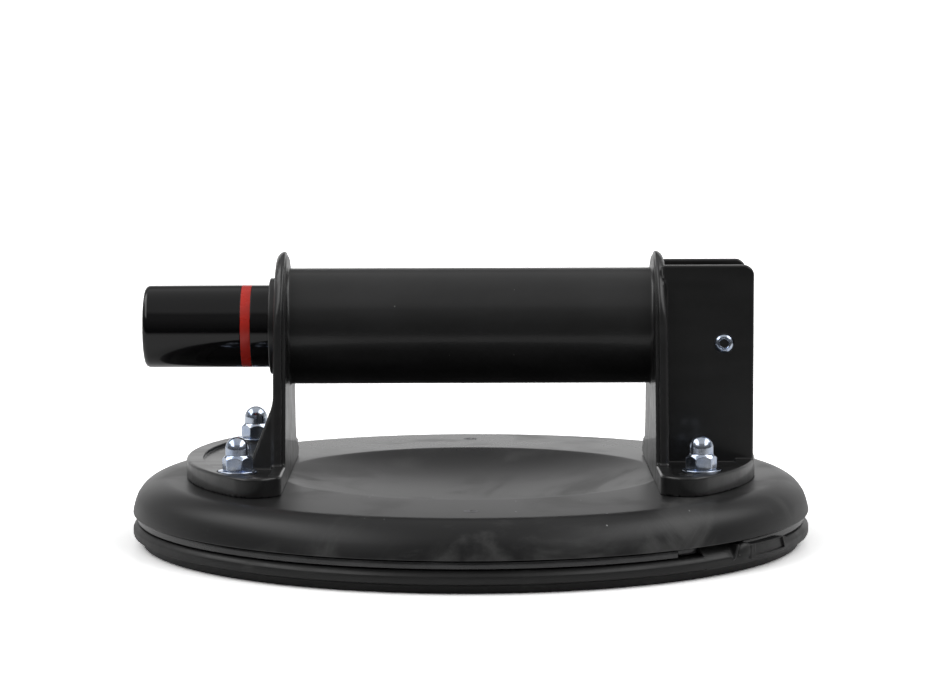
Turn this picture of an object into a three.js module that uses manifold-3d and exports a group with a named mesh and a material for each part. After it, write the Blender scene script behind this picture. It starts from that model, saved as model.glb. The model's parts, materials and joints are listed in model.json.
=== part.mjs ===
// Hand vacuum suction cup with a spring-return pump in its grip.
// Millimetres, +Z up. The origin is the centre of the pad's sealing face. The grip runs along X,
// the plunger comes out at -X and the release housing stands at +X.
import * as THREE from "three";
import { mergeVertices } from "three/addons/utils/BufferGeometryUtils.js";
import Module from "manifold-3d";

const wasm = await Module();
wasm.setup();

// Heights of the stacked discs, from the work surface up.
const PAD_TOP = 6.6;
const PLATE_BOTTOM = 6.9;
const PLATE_TOP = 9.2;
const COVER_BOTTOM = 9.35;
const DECK_Z = 19.7;
const FOOT_TOP = 25.4;
const FOOT_FLOOR = 24.4;
const WASHER_SEAT = 24.9;

// Play between pieces that slide or seat, clearance round loose ones, and how far a joined or
// cutting solid runs past its neighbour.
const FIT = 0.1;
const LOOSE = 0.3;
const OVERRUN = 1;

// Round sizes of the base.
const COVER_R = 101.4;
const DECK_R = 91.5;
const DISH_R = 57.2;
const DISH_DEPTH = 6.5;
const SHELL = 3.5;
const RIM_WIDTH = 10.2;
const PLATE_R = 100.1;
const PAD_LIP_R = 101.4;
const PAD_SEAL_R = 98.7;
const PAD_CAVITY = 2.2;
const PAD_CAVITY_R = 84;
const PAD_SEAL_IN_R = 90;
const TAB_R = 102.4;

// The pull tab on the pad and the finger recess beside it, as angles about Z in degrees.
const TAB_START = -43.3;
const KNUCKLE_END = -39.5;
const TAB_END = -28.5;
const RECESS_START = -55.3;
const RECESS_END = -39.2;
const RECESS_R = 97.6;

// Grip and uprights.
const GRIP_Z = 64.05;
const GRIP_R = 17.35;
const BORE_R = 14.6;
const UPRIGHT_IN = 54.2;
const UPRIGHT_OUT = 57.9;
const ARCH_R = 22.5;
const LEG_TAPER = 10.7;
const LEG_FLARE_R = 7;
const GUSSET_RISE = 19;
const GUSSET_REACH = 7.4;
const GUSSET_THICK = 2.5;

// Feet.
const FOOT_R = 85.3;
const FOOT_CORNER_R = 7.5;
const FOOT_RIM = 5;
const GAP = 0.05;

// Housing for the release rocker.
const CHEEK_IN = 12.4;
const CHEEK_OUT = 15.6;
const HOUSING_END = 83.8;
const HOUSING_TOP = 83;
const END_WALL_TOP = 47;
const END_WALL = 2.4;
const HOUSING_CORNER_R = 3;

// Fasteners.
const STUD_LEFT_X = 67.4;
const STUD_RIGHT_X = 66.6;
const STUD_Y = 38.5;
const STUD_R = 2.5;
const STUD_TOP = 33.2;
const STUD_HEAD_R = 5.5;
const STUD_BOSS_R = 6;
const WASHER_R = 5.7;
const SPOTFACE_R = 6;
const WASHER_THICK = 0.75;
const NUT_FLATS = 8;
const NUT_HEX = 4.3;
const NUT_HEIGHT = 9.7;
const NUT_DOME_R = 3.5;
const DECK_SCREW_R = 79.5;
const DECK_SCREW_HEAD_R = 2.2;
const SCREW_SHANK_R = 1.25;
const SCREW_BOSS_R = 5;

// Plunger and cylinder.
const PLUNGER_R = 12.35;
const PLUNGER_WALL = 2.5;
const PLUNGER_END = -97.5;
const BAND_DEPTH = 0.6;
const BAND_START = -68.4;
const BAND_END = -65.4;
const COLLAR_START = -60;
const COLLAR_END = -52;
const CYLINDER_OUT_R = 14.45;
const CYLINDER_IN_R = 13.2;
const CYLINDER_END = 52.8;
const PISTON_START = -51.7;
const PISTON_END = -46.5;
const PISTON_CORE_R = 11;
const HEAD_START = 46.5;
const HEAD_GROOVE_R = 11.4;
const HUB_R = 11.2;
const PLENUM_R = 4.5;

// Release rocker and its valve.
const PIVOT_X = 75;
const PIVOT_Z = 59.8;
const PIVOT_R = 1.5;
const PIVOT_HEAD_R = 2.7;
const PIVOT_NUT_FLATS = 5.5;
const LEVER_HUB_R = 4.2;
const LEVER_HUB_HALF = 8;
const BOSS_X = 72.6;
const VALVE_Z = 69.2;
const STEM_R = 1;
const STEM_HEAD_R = 2;
const STEM_BUTTON_R = 2.8;
const STEM_START = 58.9;
const STEM_END = 71;
const VALVE_STEP = 61;
const BLOCK_END = 66;
const BLOCK_HALF = 7;
const BLOCK_LOW = 56;
const BLOCK_HIGH = 73.5;

// Hose and port.
const NIPPLE_X = 62;
const PORT_X = 70;
const PORT_R = 3.4;
const PORT_BOSS_R = 7;
const FITTING_SHANK_R = 3.2;
const FITTING_COLLAR_R = 4.4;
const FITTING_FLATS = 9;
const HOSE_IN_R = 2.45;
const HOSE_OUT_R = 3.7;
const BARB_R = 2.1;
const NIPPLE_LOW = 49.5;
const BARB_TOP = 35;
const AIRWAY_R = 1.2;

const ROUND_LARGE = 52;
const ROUND_MEDIUM = 26;
const ROUND_SMALL = 14;

const radians = THREE.MathUtils.degToRad;
const point = (x, y) => new THREE.Vector2(x, y);

const FINISHES = {
  moulded: { color: 0x1b1b1c, roughness: 0.45, metalness: 0 },
  gloss: { color: 0x0a0a0b, roughness: 0.12, metalness: 0 },
  cover: { color: 0x2a2a2b, roughness: 0.6, metalness: 0 },
  plate: { color: 0x303032, roughness: 0.35, metalness: 0.4 },
  rubber: { color: 0x1a1a1a, roughness: 0.75, metalness: 0 },
  red: { color: 0xb42a22, roughness: 0.4, metalness: 0 },
  zinc: { color: 0xc4cad2, roughness: 0.25, metalness: 1 },
  brass: { color: 0xb08d4a, roughness: 0.35, metalness: 1 },
  steel: { color: 0x9a9c9f, roughness: 0.3, metalness: 1 },
  acetal: { color: 0xd8d6cf, roughness: 0.5, metalness: 0 },
  felt: { color: 0x8f8f88, roughness: 0.95, metalness: 0 },
};

// A closed geometry as a solid that can be joined and cut.
function solidOf(geometry) {
  const bare = geometry.clone();
  bare.deleteAttribute("normal");
  bare.deleteAttribute("uv");
  const merged = mergeVertices(bare, 1e-4);
  return new wasm.Manifold(
    new wasm.Mesh({
      numProp: 3,
      vertProperties: merged.attributes.position.array,
      triVerts: new Uint32Array(merged.index.array),
    }),
  );
}

function geometryOf(solid) {
  const mesh = solid.getMesh();
  const geometry = new THREE.BufferGeometry();
  geometry.setAttribute("position", new THREE.BufferAttribute(mesh.vertProperties, 3));
  geometry.setIndex(new THREE.BufferAttribute(mesh.triVerts, 1));
  geometry.computeVertexNormals();
  return geometry;
}

function join(...geometries) {
  return geometryOf(geometries.map(solidOf).reduce((sum, part) => sum.add(part)));
}

function cut(body, ...tools) {
  return geometryOf(tools.map(solidOf).reduce((rest, tool) => rest.subtract(tool), solidOf(body)));
}

// A closed outline of [radius, height] pairs turned about Z.
function turned(outline, segments = ROUND_MEDIUM) {
  const points = outline.map(([radius, height]) => point(radius, height));
  if (THREE.ShapeUtils.area(points) < 0) points.reverse();
  points.push(points[0].clone());
  return new THREE.LatheGeometry(points, segments).rotateX(Math.PI / 2);
}

// The same outline turned about X, with the heights measured along X.
function turnedAlongX(outline, segments = ROUND_MEDIUM) {
  return turned(outline, segments).rotateY(Math.PI / 2).translate(0, 0, GRIP_Z);
}

function rod(radius, bottom, top, x = 0, y = 0, segments = ROUND_SMALL) {
  const outline = [
    [0, bottom],
    [radius, bottom],
    [radius, top],
    [0, top],
  ];
  return turned(outline, segments).translate(x, y, 0);
}

function rodAlongX(radius, start, end, z = GRIP_Z, segments = ROUND_MEDIUM) {
  return rod(radius, start, end, 0, 0, segments).rotateY(Math.PI / 2).translate(0, 0, z);
}

function ring(outer, inner, bottom, top, segments = ROUND_MEDIUM) {
  const outline = [
    [inner, bottom],
    [outer, bottom],
    [outer, top],
    [inner, top],
  ];
  return turned(outline, segments);
}

function box(low, high) {
  const size = high.map((value, axis) => value - low[axis]);
  const middle = high.map((value, axis) => (value + low[axis]) / 2);
  return new THREE.BoxGeometry(...size).translate(...middle);
}

// A flat outline in X and Z, given thickness along Y from front to back.
function slabAcrossY(shape, front, back) {
  const geometry = new THREE.ExtrudeGeometry(shape, {
    depth: back - front,
    bevelEnabled: false,
    curveSegments: 8,
  });
  return geometry.rotateX(Math.PI / 2).translate(0, back, 0);
}

function slabUpZ(shape, bottom, top, curveSegments = 8) {
  return new THREE.ExtrudeGeometry(shape, {
    depth: top - bottom,
    bevelEnabled: false,
    curveSegments,
  }).translate(0, 0, bottom);
}

function hexagon(flats) {
  const corner = flats / 2 / Math.cos(Math.PI / 6);
  const corners = [...Array(6).keys()].map((step) => {
    const angle = (step * Math.PI) / 3;
    return point(corner * Math.cos(angle), corner * Math.sin(angle));
  });
  return new THREE.Shape(corners);
}

// An arc of [radius, height] pairs about a centre, angles in degrees.
function arc(centre, radii, from, to, steps) {
  return [...Array(steps + 1).keys()].map((step) => {
    const angle = radians(from + ((to - from) * step) / steps);
    return [centre[0] + radii[0] * Math.cos(angle), centre[1] + radii[1] * Math.sin(angle)];
  });
}

// A piece of a thick ring between two angles about Z.
function ringSector(inner, outer, from, to, bottom, top) {
  const shape = new THREE.Shape();
  shape.absarc(0, 0, outer, radians(from), radians(to), false);
  shape.absarc(0, 0, inner, radians(to), radians(from), true);
  return slabUpZ(shape, bottom, top);
}

// A coil of round wire from start to end, wound about Z.
function coil(meanRadius, wireRadius, start, end, turns, stepsPerTurn) {
  class Helix extends THREE.Curve {
    getPoint(t) {
      const angle = t * turns * 2 * Math.PI;
      const height = start + wireRadius + t * (end - start - 2 * wireRadius);
      return new THREE.Vector3(meanRadius * Math.cos(angle), meanRadius * Math.sin(angle), height);
    }
  }
  const wire = new THREE.Shape();
  wire.absarc(0, 0, wireRadius, 0, 2 * Math.PI, false);
  return new THREE.ExtrudeGeometry(wire, {
    steps: turns * stepsPerTurn,
    extrudePath: new Helix(),
    curveSegments: 3,
  });
}

// ---- Handle ----

// Half the width of an upright below the grip, where its sides are tangents to the arch.
function legHalfWidth(z) {
  const taper = radians(LEG_TAPER);
  return (ARCH_R + (GRIP_Z - z) * Math.sin(taper)) / Math.cos(taper);
}

// The arch-topped upright seen along X: legs that widen downwards and flare into the foot.
function uprightOutline() {
  const taper = radians(LEG_TAPER);
  const bottom = DECK_Z + GAP;
  const flareTop = FOOT_FLOOR + LEG_FLARE_R;
  const flareEnd = legHalfWidth(FOOT_FLOOR) + LEG_FLARE_R;
  const shape = new THREE.Shape();
  shape.moveTo(-flareEnd, bottom);
  shape.lineTo(flareEnd, bottom);
  shape.lineTo(flareEnd, FOOT_FLOOR);
  shape.quadraticCurveTo(legHalfWidth(FOOT_FLOOR), FOOT_FLOOR, legHalfWidth(flareTop), flareTop);
  shape.absarc(0, GRIP_Z, ARCH_R, taper, Math.PI - taper, false);
  shape.lineTo(-legHalfWidth(flareTop), flareTop);
  shape.quadraticCurveTo(-legHalfWidth(FOOT_FLOOR), FOOT_FLOOR, -flareEnd, FOOT_FLOOR);
  return shape;
}

function upright(side) {
  const plate = new THREE.ExtrudeGeometry(uprightOutline(), {
    depth: UPRIGHT_OUT - UPRIGHT_IN,
    bevelEnabled: false,
    curveSegments: 14,
  });
  plate.rotateX(Math.PI / 2).rotateZ(Math.PI / 2);
  const near = side > 0 ? UPRIGHT_IN : -UPRIGHT_OUT;
  return plate.translate(near, 0, 0);
}

// A D-shaped foot outline: flat beside the upright, concentric with the base outside, with both
// inner corners rounded.
function footOutline(flatX, inset) {
  const outer = FOOT_R - inset;
  const corner = Math.max(FOOT_CORNER_R - inset, 1);
  const centreX = flatX + corner;
  const centreY = Math.sqrt((outer - corner) ** 2 - centreX ** 2);
  const turn = Math.atan2(centreY, centreX);
  const shape = new THREE.Shape();
  shape.moveTo(flatX, centreY);
  shape.lineTo(flatX, -centreY);
  shape.absarc(centreX, -centreY, corner, Math.PI, 2 * Math.PI - turn, false);
  shape.absarc(0, 0, outer, -turn, turn, false);
  shape.absarc(centreX, centreY, corner, turn, Math.PI, false);
  return shape;
}

function foot(side) {
  const block = slabUpZ(footOutline(UPRIGHT_IN, 0), DECK_Z + GAP, FOOT_TOP);
  const recess = slabUpZ(footOutline(UPRIGHT_OUT, FOOT_RIM), FOOT_FLOOR, FOOT_TOP + OVERRUN);
  const dished = cut(block, recess);
  return side > 0 ? dished : dished.rotateZ(Math.PI);
}

// Triangular rib from the left upright to its foot, just inside the leg's sloping edge.
function gusset(side) {
  const inset = 0.3;
  const depth = 2.5;
  const shape = new THREE.Shape([
    point(-UPRIGHT_OUT + OVERRUN, -OVERRUN),
    point(-UPRIGHT_OUT + OVERRUN, GUSSET_RISE + depth),
    point(-UPRIGHT_OUT, GUSSET_RISE),
    point(-UPRIGHT_OUT - GUSSET_REACH, 0),
    point(-UPRIGHT_OUT - GUSSET_REACH, -OVERRUN),
  ]);
  const front = side < 0 ? inset : -inset - GUSSET_THICK;
  const rib = slabAcrossY(shape, front, front + GUSSET_THICK).rotateX(side * radians(LEG_TAPER));
  return rib.translate(0, side * legHalfWidth(FOOT_FLOOR), FOOT_FLOOR);
}

function cheek(front, back) {
  const near = UPRIGHT_OUT - OVERRUN;
  const cornerX = HOUSING_END - HOUSING_CORNER_R;
  const cornerZ = HOUSING_TOP - HOUSING_CORNER_R;
  const shape = new THREE.Shape();
  shape.moveTo(near, DECK_Z + GAP);
  shape.lineTo(HOUSING_END, DECK_Z + GAP);
  shape.absarc(cornerX, cornerZ, HOUSING_CORNER_R, 0, Math.PI / 2, false);
  shape.lineTo(near, HOUSING_TOP);
  return slabAcrossY(shape, front, back);
}

// The grip flares a little where it meets each upright.
function gripTube() {
  const flare = 2.5;
  const flareStep = 0.6;
  const buried = UPRIGHT_IN + OVERRUN;
  const half = [
    [GRIP_R, UPRIGHT_IN - flare],
    [GRIP_R + flareStep, UPRIGHT_IN - 1],
    [GRIP_R + flare, UPRIGHT_IN],
    [GRIP_R + flare, buried],
    [0, buried],
  ];
  const mirrored = half.map(([radius, x]) => [radius, -x]).reverse();
  return turnedAlongX([...mirrored, ...half]);
}

// The bore holds the cylinder from the left. A shoulder at its right end stops the cylinder.
function gripBore() {
  const shoulder = CYLINDER_END + 2 * FIT;
  const hubHole = HUB_R + LOOSE;
  return turnedAlongX([
    [0, -UPRIGHT_OUT - OVERRUN],
    [BORE_R, -UPRIGHT_OUT - OVERRUN],
    [BORE_R, shoulder],
    [hubHole, shoulder],
    [hubHole, UPRIGHT_OUT + OVERRUN],
    [0, UPRIGHT_OUT + OVERRUN],
  ]);
}

function pivotHoles() {
  const past = CHEEK_OUT + OVERRUN;
  const holeR = PIVOT_R + FIT;
  const seatR = PIVOT_HEAD_R + FIT / 2 + FIT;
  const seatDepth = 1.8;
  const hole = rod(holeR, -past, past);
  const countersink = turned([
    [0, -past],
    [seatR, -past],
    [seatR, -CHEEK_OUT + LOOSE],
    [holeR, -CHEEK_OUT + seatDepth],
    [0, -CHEEK_OUT + seatDepth],
  ]);
  const nutPocket = slabUpZ(hexagon(PIVOT_NUT_FLATS + 0.4), CHEEK_OUT - 2.2, past);
  return join(hole, countersink, nutPocket).rotateX(-Math.PI / 2).translate(PIVOT_X, 0, PIVOT_Z);
}

function handle() {
  const endWallLow = [HOUSING_END - END_WALL, -CHEEK_IN - OVERRUN, DECK_Z + OVERRUN];
  const seats = studPlaces().map(([x, y]) => rod(SPOTFACE_R + LOOSE, DECK_Z + GAP, WASHER_SEAT, x, y, 24));
  const solid = join(
    gripTube(),
    upright(1),
    upright(-1),
    foot(1),
    foot(-1),
    ...seats,
    gusset(-1),
    gusset(1),
    cheek(-CHEEK_OUT, -CHEEK_IN),
    cheek(CHEEK_IN, CHEEK_OUT),
    box(endWallLow, [HOUSING_END, CHEEK_IN + OVERRUN, END_WALL_TOP]),
  );
  const below = DECK_Z - OVERRUN;
  const studHoles = studPlaces().map(([x, y]) => rod(STUD_R + LOOSE, below, FOOT_TOP, x, y));
  const spotfaces = studPlaces().map(([x, y]) => rod(SPOTFACE_R, WASHER_SEAT, STUD_TOP, x, y, 24));
  const portHole = rod(PORT_R, below, FOOT_TOP, PORT_X, 0);
  return cut(solid, gripBore(), pivotHoles(), portHole, ...studHoles, ...spotfaces);
}

// ---- Pump ----

function pumpCollar() {
  const chamfer = 0.5;
  const inner = PLUNGER_R + LOOSE;
  return turnedAlongX([
    [inner, COLLAR_START + chamfer],
    [inner + chamfer, COLLAR_START],
    [CYLINDER_OUT_R - chamfer, COLLAR_START],
    [CYLINDER_OUT_R, COLLAR_START + chamfer],
    [CYLINDER_OUT_R, COLLAR_END],
    [inner, COLLAR_END],
  ]);
}

function pumpCylinder() {
  return turnedAlongX([
    [CYLINDER_IN_R, COLLAR_END + FIT],
    [CYLINDER_OUT_R, COLLAR_END + FIT],
    [CYLINDER_OUT_R, CYLINDER_END],
    [CYLINDER_IN_R, CYLINDER_END],
  ]);
}

// A cup that opens towards the piston, with a groove for the red band.
function plunger() {
  const endWall = 4;
  const endRound = 2;
  const bore = PLUNGER_R - PLUNGER_WALL;
  return turnedAlongX([
    [0, PLUNGER_END],
    [PLUNGER_R - 0.9, PLUNGER_END],
    [PLUNGER_R - 0.2, PLUNGER_END + 0.7],
    [PLUNGER_R, PLUNGER_END + endRound],
    [PLUNGER_R, BAND_START],
    [PLUNGER_R - BAND_DEPTH, BAND_START],
    [PLUNGER_R - BAND_DEPTH, BAND_END],
    [PLUNGER_R, BAND_END],
    [PLUNGER_R, PISTON_START - FIT],
    [bore, PISTON_START - FIT],
    [bore, PLUNGER_END + endWall],
    [0, PLUNGER_END + endWall],
  ]);
}

function redBand() {
  const play = FIT / 2;
  const inner = PLUNGER_R - BAND_DEPTH + play;
  return turnedAlongX([
    [inner, BAND_START + play],
    [PLUNGER_R, BAND_START + play],
    [PLUNGER_R, BAND_END - play],
    [inner, BAND_END - play],
  ]);
}

// A disc with a seal groove, on a spigot that plugs the plunger.
function piston() {
  const spigotR = PLUNGER_R - PLUNGER_WALL - FIT;
  const spigotLength = 10;
  const discR = CYLINDER_IN_R - 2 * FIT;
  const land = 1.3;
  return turnedAlongX([
    [0, PISTON_START - spigotLength],
    [spigotR, PISTON_START - spigotLength],
    [spigotR, PISTON_START],
    [discR, PISTON_START],
    [discR, PISTON_START + land],
    [PISTON_CORE_R, PISTON_START + land],
    [PISTON_CORE_R, PISTON_END - land],
    [discR, PISTON_END - land],
    [discR, PISTON_END],
    [0, PISTON_END],
  ]);
}

// A cup seal whose lip opens towards the cylinder head.
function pistonSeal() {
  const start = PISTON_START + 1.4;
  const width = 2.3;
  const web = 1;
  const inner = PISTON_CORE_R + FIT;
  return turnedAlongX([
    [inner, start],
    [CYLINDER_IN_R - 0.8, start],
    [CYLINDER_IN_R - FIT, start + width],
    [CYLINDER_IN_R - 0.5, start + width],
    [CYLINDER_IN_R - 1.2, start + web],
    [inner, start + web],
  ]);
}

function plungerSpring() {
  const meanR = 10.6;
  const wireR = 0.7;
  const spring = coil(meanR, wireR, PISTON_END + FIT, HEAD_START - FIT, 9, 10);
  return spring.rotateY(Math.PI / 2).translate(0, 0, GRIP_Z);
}

// Head: spigot with a seal groove, hub through the upright, and a valve block beyond it.
function headBody() {
  const land = 2;
  const spigotR = CYLINDER_IN_R - FIT;
  const blockStart = UPRIGHT_OUT + FIT;
  const spigot = turnedAlongX([
    [0, HEAD_START],
    [spigotR, HEAD_START],
    [spigotR, HEAD_START + land],
    [HEAD_GROOVE_R, HEAD_START + land],
    [HEAD_GROOVE_R, HEAD_START + 2 * land],
    [spigotR, HEAD_START + 2 * land],
    [spigotR, CYLINDER_END],
    [HUB_R, CYLINDER_END],
    [HUB_R, blockStart + FIT],
    [0, blockStart + FIT],
  ]);
  const block = box([blockStart, -BLOCK_HALF, BLOCK_LOW], [BLOCK_END, BLOCK_HALF, BLOCK_HIGH]);
  const nipple = rod(BARB_R, NIPPLE_LOW, BLOCK_LOW + OVERRUN, NIPPLE_X, 0);
  return join(spigot, block, nipple);
}

// The plenum leads from the inlets to the airway and to the release valve's chamber.
function cylinderHead() {
  const front = HEAD_START - OVERRUN;
  const plenumStart = HEAD_START + 2.5;
  const plenumEnd = 60.5;
  const plenum = rodAlongX(PLENUM_R, plenumStart, plenumEnd, GRIP_Z, ROUND_SMALL);
  const link = rodAlongX(PLENUM_R, plenumEnd - 2, NIPPLE_X + 0.9, GRIP_Z, ROUND_SMALL);
  const valveHole = rodAlongX(1 + FIT, front, plenumStart + 0.5, GRIP_Z, ROUND_SMALL);
  const inlets = [0, 120, 240].map((turn) => {
    const hole = rod(0.8, front, plenumStart + 0.5, 3.1, 0, 10);
    return hole.rotateZ(radians(turn)).rotateY(Math.PI / 2).translate(0, 0, GRIP_Z);
  });
  const airway = rod(AIRWAY_R, NIPPLE_LOW - OVERRUN, GRIP_Z, NIPPLE_X - 0.4, 0);
  const chamber = rodAlongX(STEM_HEAD_R + 0.4, BLOCK_END - 9, VALVE_STEP + 1, VALVE_Z, ROUND_SMALL);
  const neck = rodAlongX(STEM_R + 0.5, VALVE_STEP, BLOCK_END - 1, VALVE_Z, ROUND_SMALL);
  const springPocket = rodAlongX(2.7, BLOCK_END - 2, BLOCK_END + OVERRUN, VALVE_Z, ROUND_SMALL);
  return cut(headBody(), plenum, link, valveHole, ...inlets, airway, chamber, neck, springPocket);
}

function roundSection(radius, wire, centre) {
  return [...Array(6).keys()].map((step) => {
    const angle = (step * Math.PI) / 3;
    return [radius + wire * Math.cos(angle), centre + wire * Math.sin(angle)];
  });
}

function headORing() {
  const wire = 0.8;
  return turnedAlongX(roundSection(CYLINDER_IN_R - FIT - wire, wire, HEAD_START + 3));
}

// Umbrella valve that covers the inlets from inside the cylinder.
function checkValve() {
  const capR = 4.8;
  const stemR = 1;
  return turnedAlongX(
    [
      [0, HEAD_START - 1.1],
      [capR - 0.2, HEAD_START - 0.7],
      [capR, HEAD_START - FIT],
      [stemR, HEAD_START - FIT],
      [stemR, HEAD_START + 3.6],
      [0, HEAD_START + 4.4],
    ],
    ROUND_SMALL,
  );
}

// ---- Release valve ----

// A headed stem: the head seals inside the chamber, and the button outside takes the spring.
function releaseStem() {
  const headEnd = STEM_START + 1.7;
  const buttonStart = STEM_END - 1.2;
  const chamfer = 0.4;
  const stem = turned(
    [
      [0, STEM_START],
      [STEM_HEAD_R, STEM_START],
      [STEM_HEAD_R, headEnd],
      [STEM_R, headEnd],
      [STEM_R, buttonStart],
      [STEM_BUTTON_R, buttonStart],
      [STEM_BUTTON_R, STEM_END - chamfer],
      [STEM_BUTTON_R - chamfer, STEM_END],
      [0, STEM_END],
    ],
    ROUND_SMALL,
  );
  return stem.rotateY(Math.PI / 2).translate(0, 0, VALVE_Z);
}

function valveORing() {
  const seal = turned(roundSection(1.65, 0.55, VALVE_STEP + LOOSE), ROUND_SMALL);
  return seal.rotateY(Math.PI / 2).translate(0, 0, VALVE_Z);
}

function valveSpring() {
  const meanR = 2.1;
  const wireR = 0.3;
  const spring = coil(meanR, wireR, BLOCK_END - 1.9, STEM_END - 1.3, 4, 7);
  return spring.rotateY(Math.PI / 2).translate(0, 0, VALVE_Z);
}

// Rocker: a thumb plate on a hub, with a boss that pushes the release stem.
function releaseLever() {
  const halfWidth = CHEEK_IN - 0.4;
  const webHalf = 2.5;
  const bossR = 1.5;
  const plateLow = END_WALL_TOP + 1.5;
  const plateHigh = HOUSING_TOP - 3.2;
  const backX = PIVOT_X + 5.5;
  const frontX = HOUSING_END - 1;
  const plate = new THREE.Shape();
  plate.moveTo(frontX - 2.8, plateLow);
  plate.lineTo(frontX, plateLow);
  plate.quadraticCurveTo(frontX + 0.6, GRIP_Z - 2, frontX - 2, plateHigh);
  plate.lineTo(frontX - 4.4, plateHigh);
  plate.quadraticCurveTo(frontX - 2.8, GRIP_Z + 2, frontX - 2.8, plateLow);
  const web = new THREE.Shape([
    point(PIVOT_X, PIVOT_Z - 3),
    point(backX, PIVOT_Z - 3),
    point(backX, VALVE_Z + bossR),
    point(BOSS_X, VALVE_Z + bossR),
  ]);
  const arm = new THREE.Shape([
    point(PIVOT_X, PIVOT_Z - 2.2),
    point(backX, PIVOT_Z - 4.2),
    point(backX, PIVOT_Z + 3.8),
    point(PIVOT_X, PIVOT_Z + 2.8),
  ]);
  const boss = new THREE.Shape();
  boss.absarc(BOSS_X, VALVE_Z, bossR, 0, 2 * Math.PI, false);
  const hub = new THREE.Shape();
  hub.absarc(PIVOT_X, PIVOT_Z, LEVER_HUB_R, 0, 2 * Math.PI, false);
  const bore = rod(PIVOT_R + FIT, -halfWidth, halfWidth, 0, 0, 24).rotateX(Math.PI / 2);
  const body = join(
    slabAcrossY(plate, -halfWidth, halfWidth),
    slabAcrossY(web, -webHalf, webHalf),
    slabAcrossY(boss, -webHalf, webHalf),
    slabAcrossY(hub, -LEVER_HUB_HALF, LEVER_HUB_HALF),
    slabAcrossY(arm, -LEVER_HUB_HALF, LEVER_HUB_HALF),
  );
  return cut(body, bore.translate(PIVOT_X, 0, PIVOT_Z));
}

function leverPivotScrew() {
  const tip = CHEEK_OUT + 0.4;
  const headEdge = 0.2;
  const headDepth = 1.6;
  const screw = turned(
    [
      [0, -CHEEK_OUT],
      [PIVOT_HEAD_R, -CHEEK_OUT],
      [PIVOT_HEAD_R, -CHEEK_OUT + headEdge],
      [PIVOT_R, -CHEEK_OUT + headDepth],
      [PIVOT_R, tip],
      [0, tip],
    ],
    24,
  );
  const socket = slabUpZ(hexagon(2), -CHEEK_OUT - OVERRUN, -CHEEK_OUT + 1.3);
  return cut(screw, socket).rotateX(-Math.PI / 2).translate(PIVOT_X, 0, PIVOT_Z);
}

function leverPivotNut() {
  const nut = slabUpZ(hexagon(PIVOT_NUT_FLATS), CHEEK_OUT - 2.1, CHEEK_OUT + FIT);
  const thread = rod(PIVOT_R + FIT / 2, 0, CHEEK_OUT + OVERRUN);
  return cut(nut, thread).rotateX(-Math.PI / 2).translate(PIVOT_X, 0, PIVOT_Z);
}

// ---- Air line ----

// The hose is pushed over the head's nipple above and over the fitting's barb below.
function vacuumHose() {
  const start = BLOCK_LOW - 0.4;
  const end = FOOT_FLOOR + 5.1;
  const places = [
    [NIPPLE_X, start],
    [NIPPLE_X, (start + NIPPLE_LOW) / 2],
    [NIPPLE_X, NIPPLE_LOW],
    [NIPPLE_X, NIPPLE_LOW - 2],
    [(NIPPLE_X + PORT_X) / 2, (NIPPLE_LOW + BARB_TOP) / 2],
    [PORT_X, BARB_TOP + 2],
    [PORT_X, BARB_TOP],
    [PORT_X, (BARB_TOP + end) / 2],
    [PORT_X, end],
  ];
  const path = new THREE.CatmullRomCurve3(places.map(([x, z]) => new THREE.Vector3(x, 0, z)));
  const section = new THREE.Shape();
  section.absarc(0, 0, HOSE_OUT_R, 0, 2 * Math.PI, false);
  const inside = new THREE.Path();
  inside.absarc(0, 0, HOSE_IN_R, 0, 2 * Math.PI, true);
  section.holes.push(inside);
  return new THREE.ExtrudeGeometry(section, { steps: 14, extrudePath: path, curveSegments: 6 });
}

// Barbed fitting that clamps through the foot, the cover plate, the backing plate and the pad.
function padFitting() {
  const low = PAD_CAVITY + 1.5;
  const collarLow = FOOT_FLOOR + FIT;
  const collarTop = FOOT_FLOOR + 3;
  const body = turned(
    [
      [AIRWAY_R, low],
      [FITTING_SHANK_R, low],
      [FITTING_SHANK_R, collarLow],
      [FITTING_COLLAR_R, collarLow],
      [FITTING_COLLAR_R, collarTop],
      [BARB_R, collarTop],
      [BARB_R, BARB_TOP - 1],
      [AIRWAY_R + 0.4, BARB_TOP],
      [AIRWAY_R, BARB_TOP],
    ],
    ROUND_SMALL,
  );
  const hex = slabUpZ(hexagon(FITTING_FLATS), collarLow, collarTop + FIT);
  const airway = rod(AIRWAY_R, 0, BARB_TOP + OVERRUN);
  return cut(join(body, hex), airway).translate(PORT_X, 0, 0);
}

function portFilter() {
  const low = PAD_CAVITY + 2 * FIT;
  return ring(PORT_BOSS_R, 0.5, low, low + 1, ROUND_SMALL).translate(PORT_X, 0, 0);
}

// ---- Base ----

// Points of the dish, a shallow spherical cap below the deck, at shares of its radius.
function dishLine(shares, drop) {
  return shares.map((share) => [DISH_R * share, DECK_Z - drop - DISH_DEPTH * (1 - share ** 2)]);
}

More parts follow.
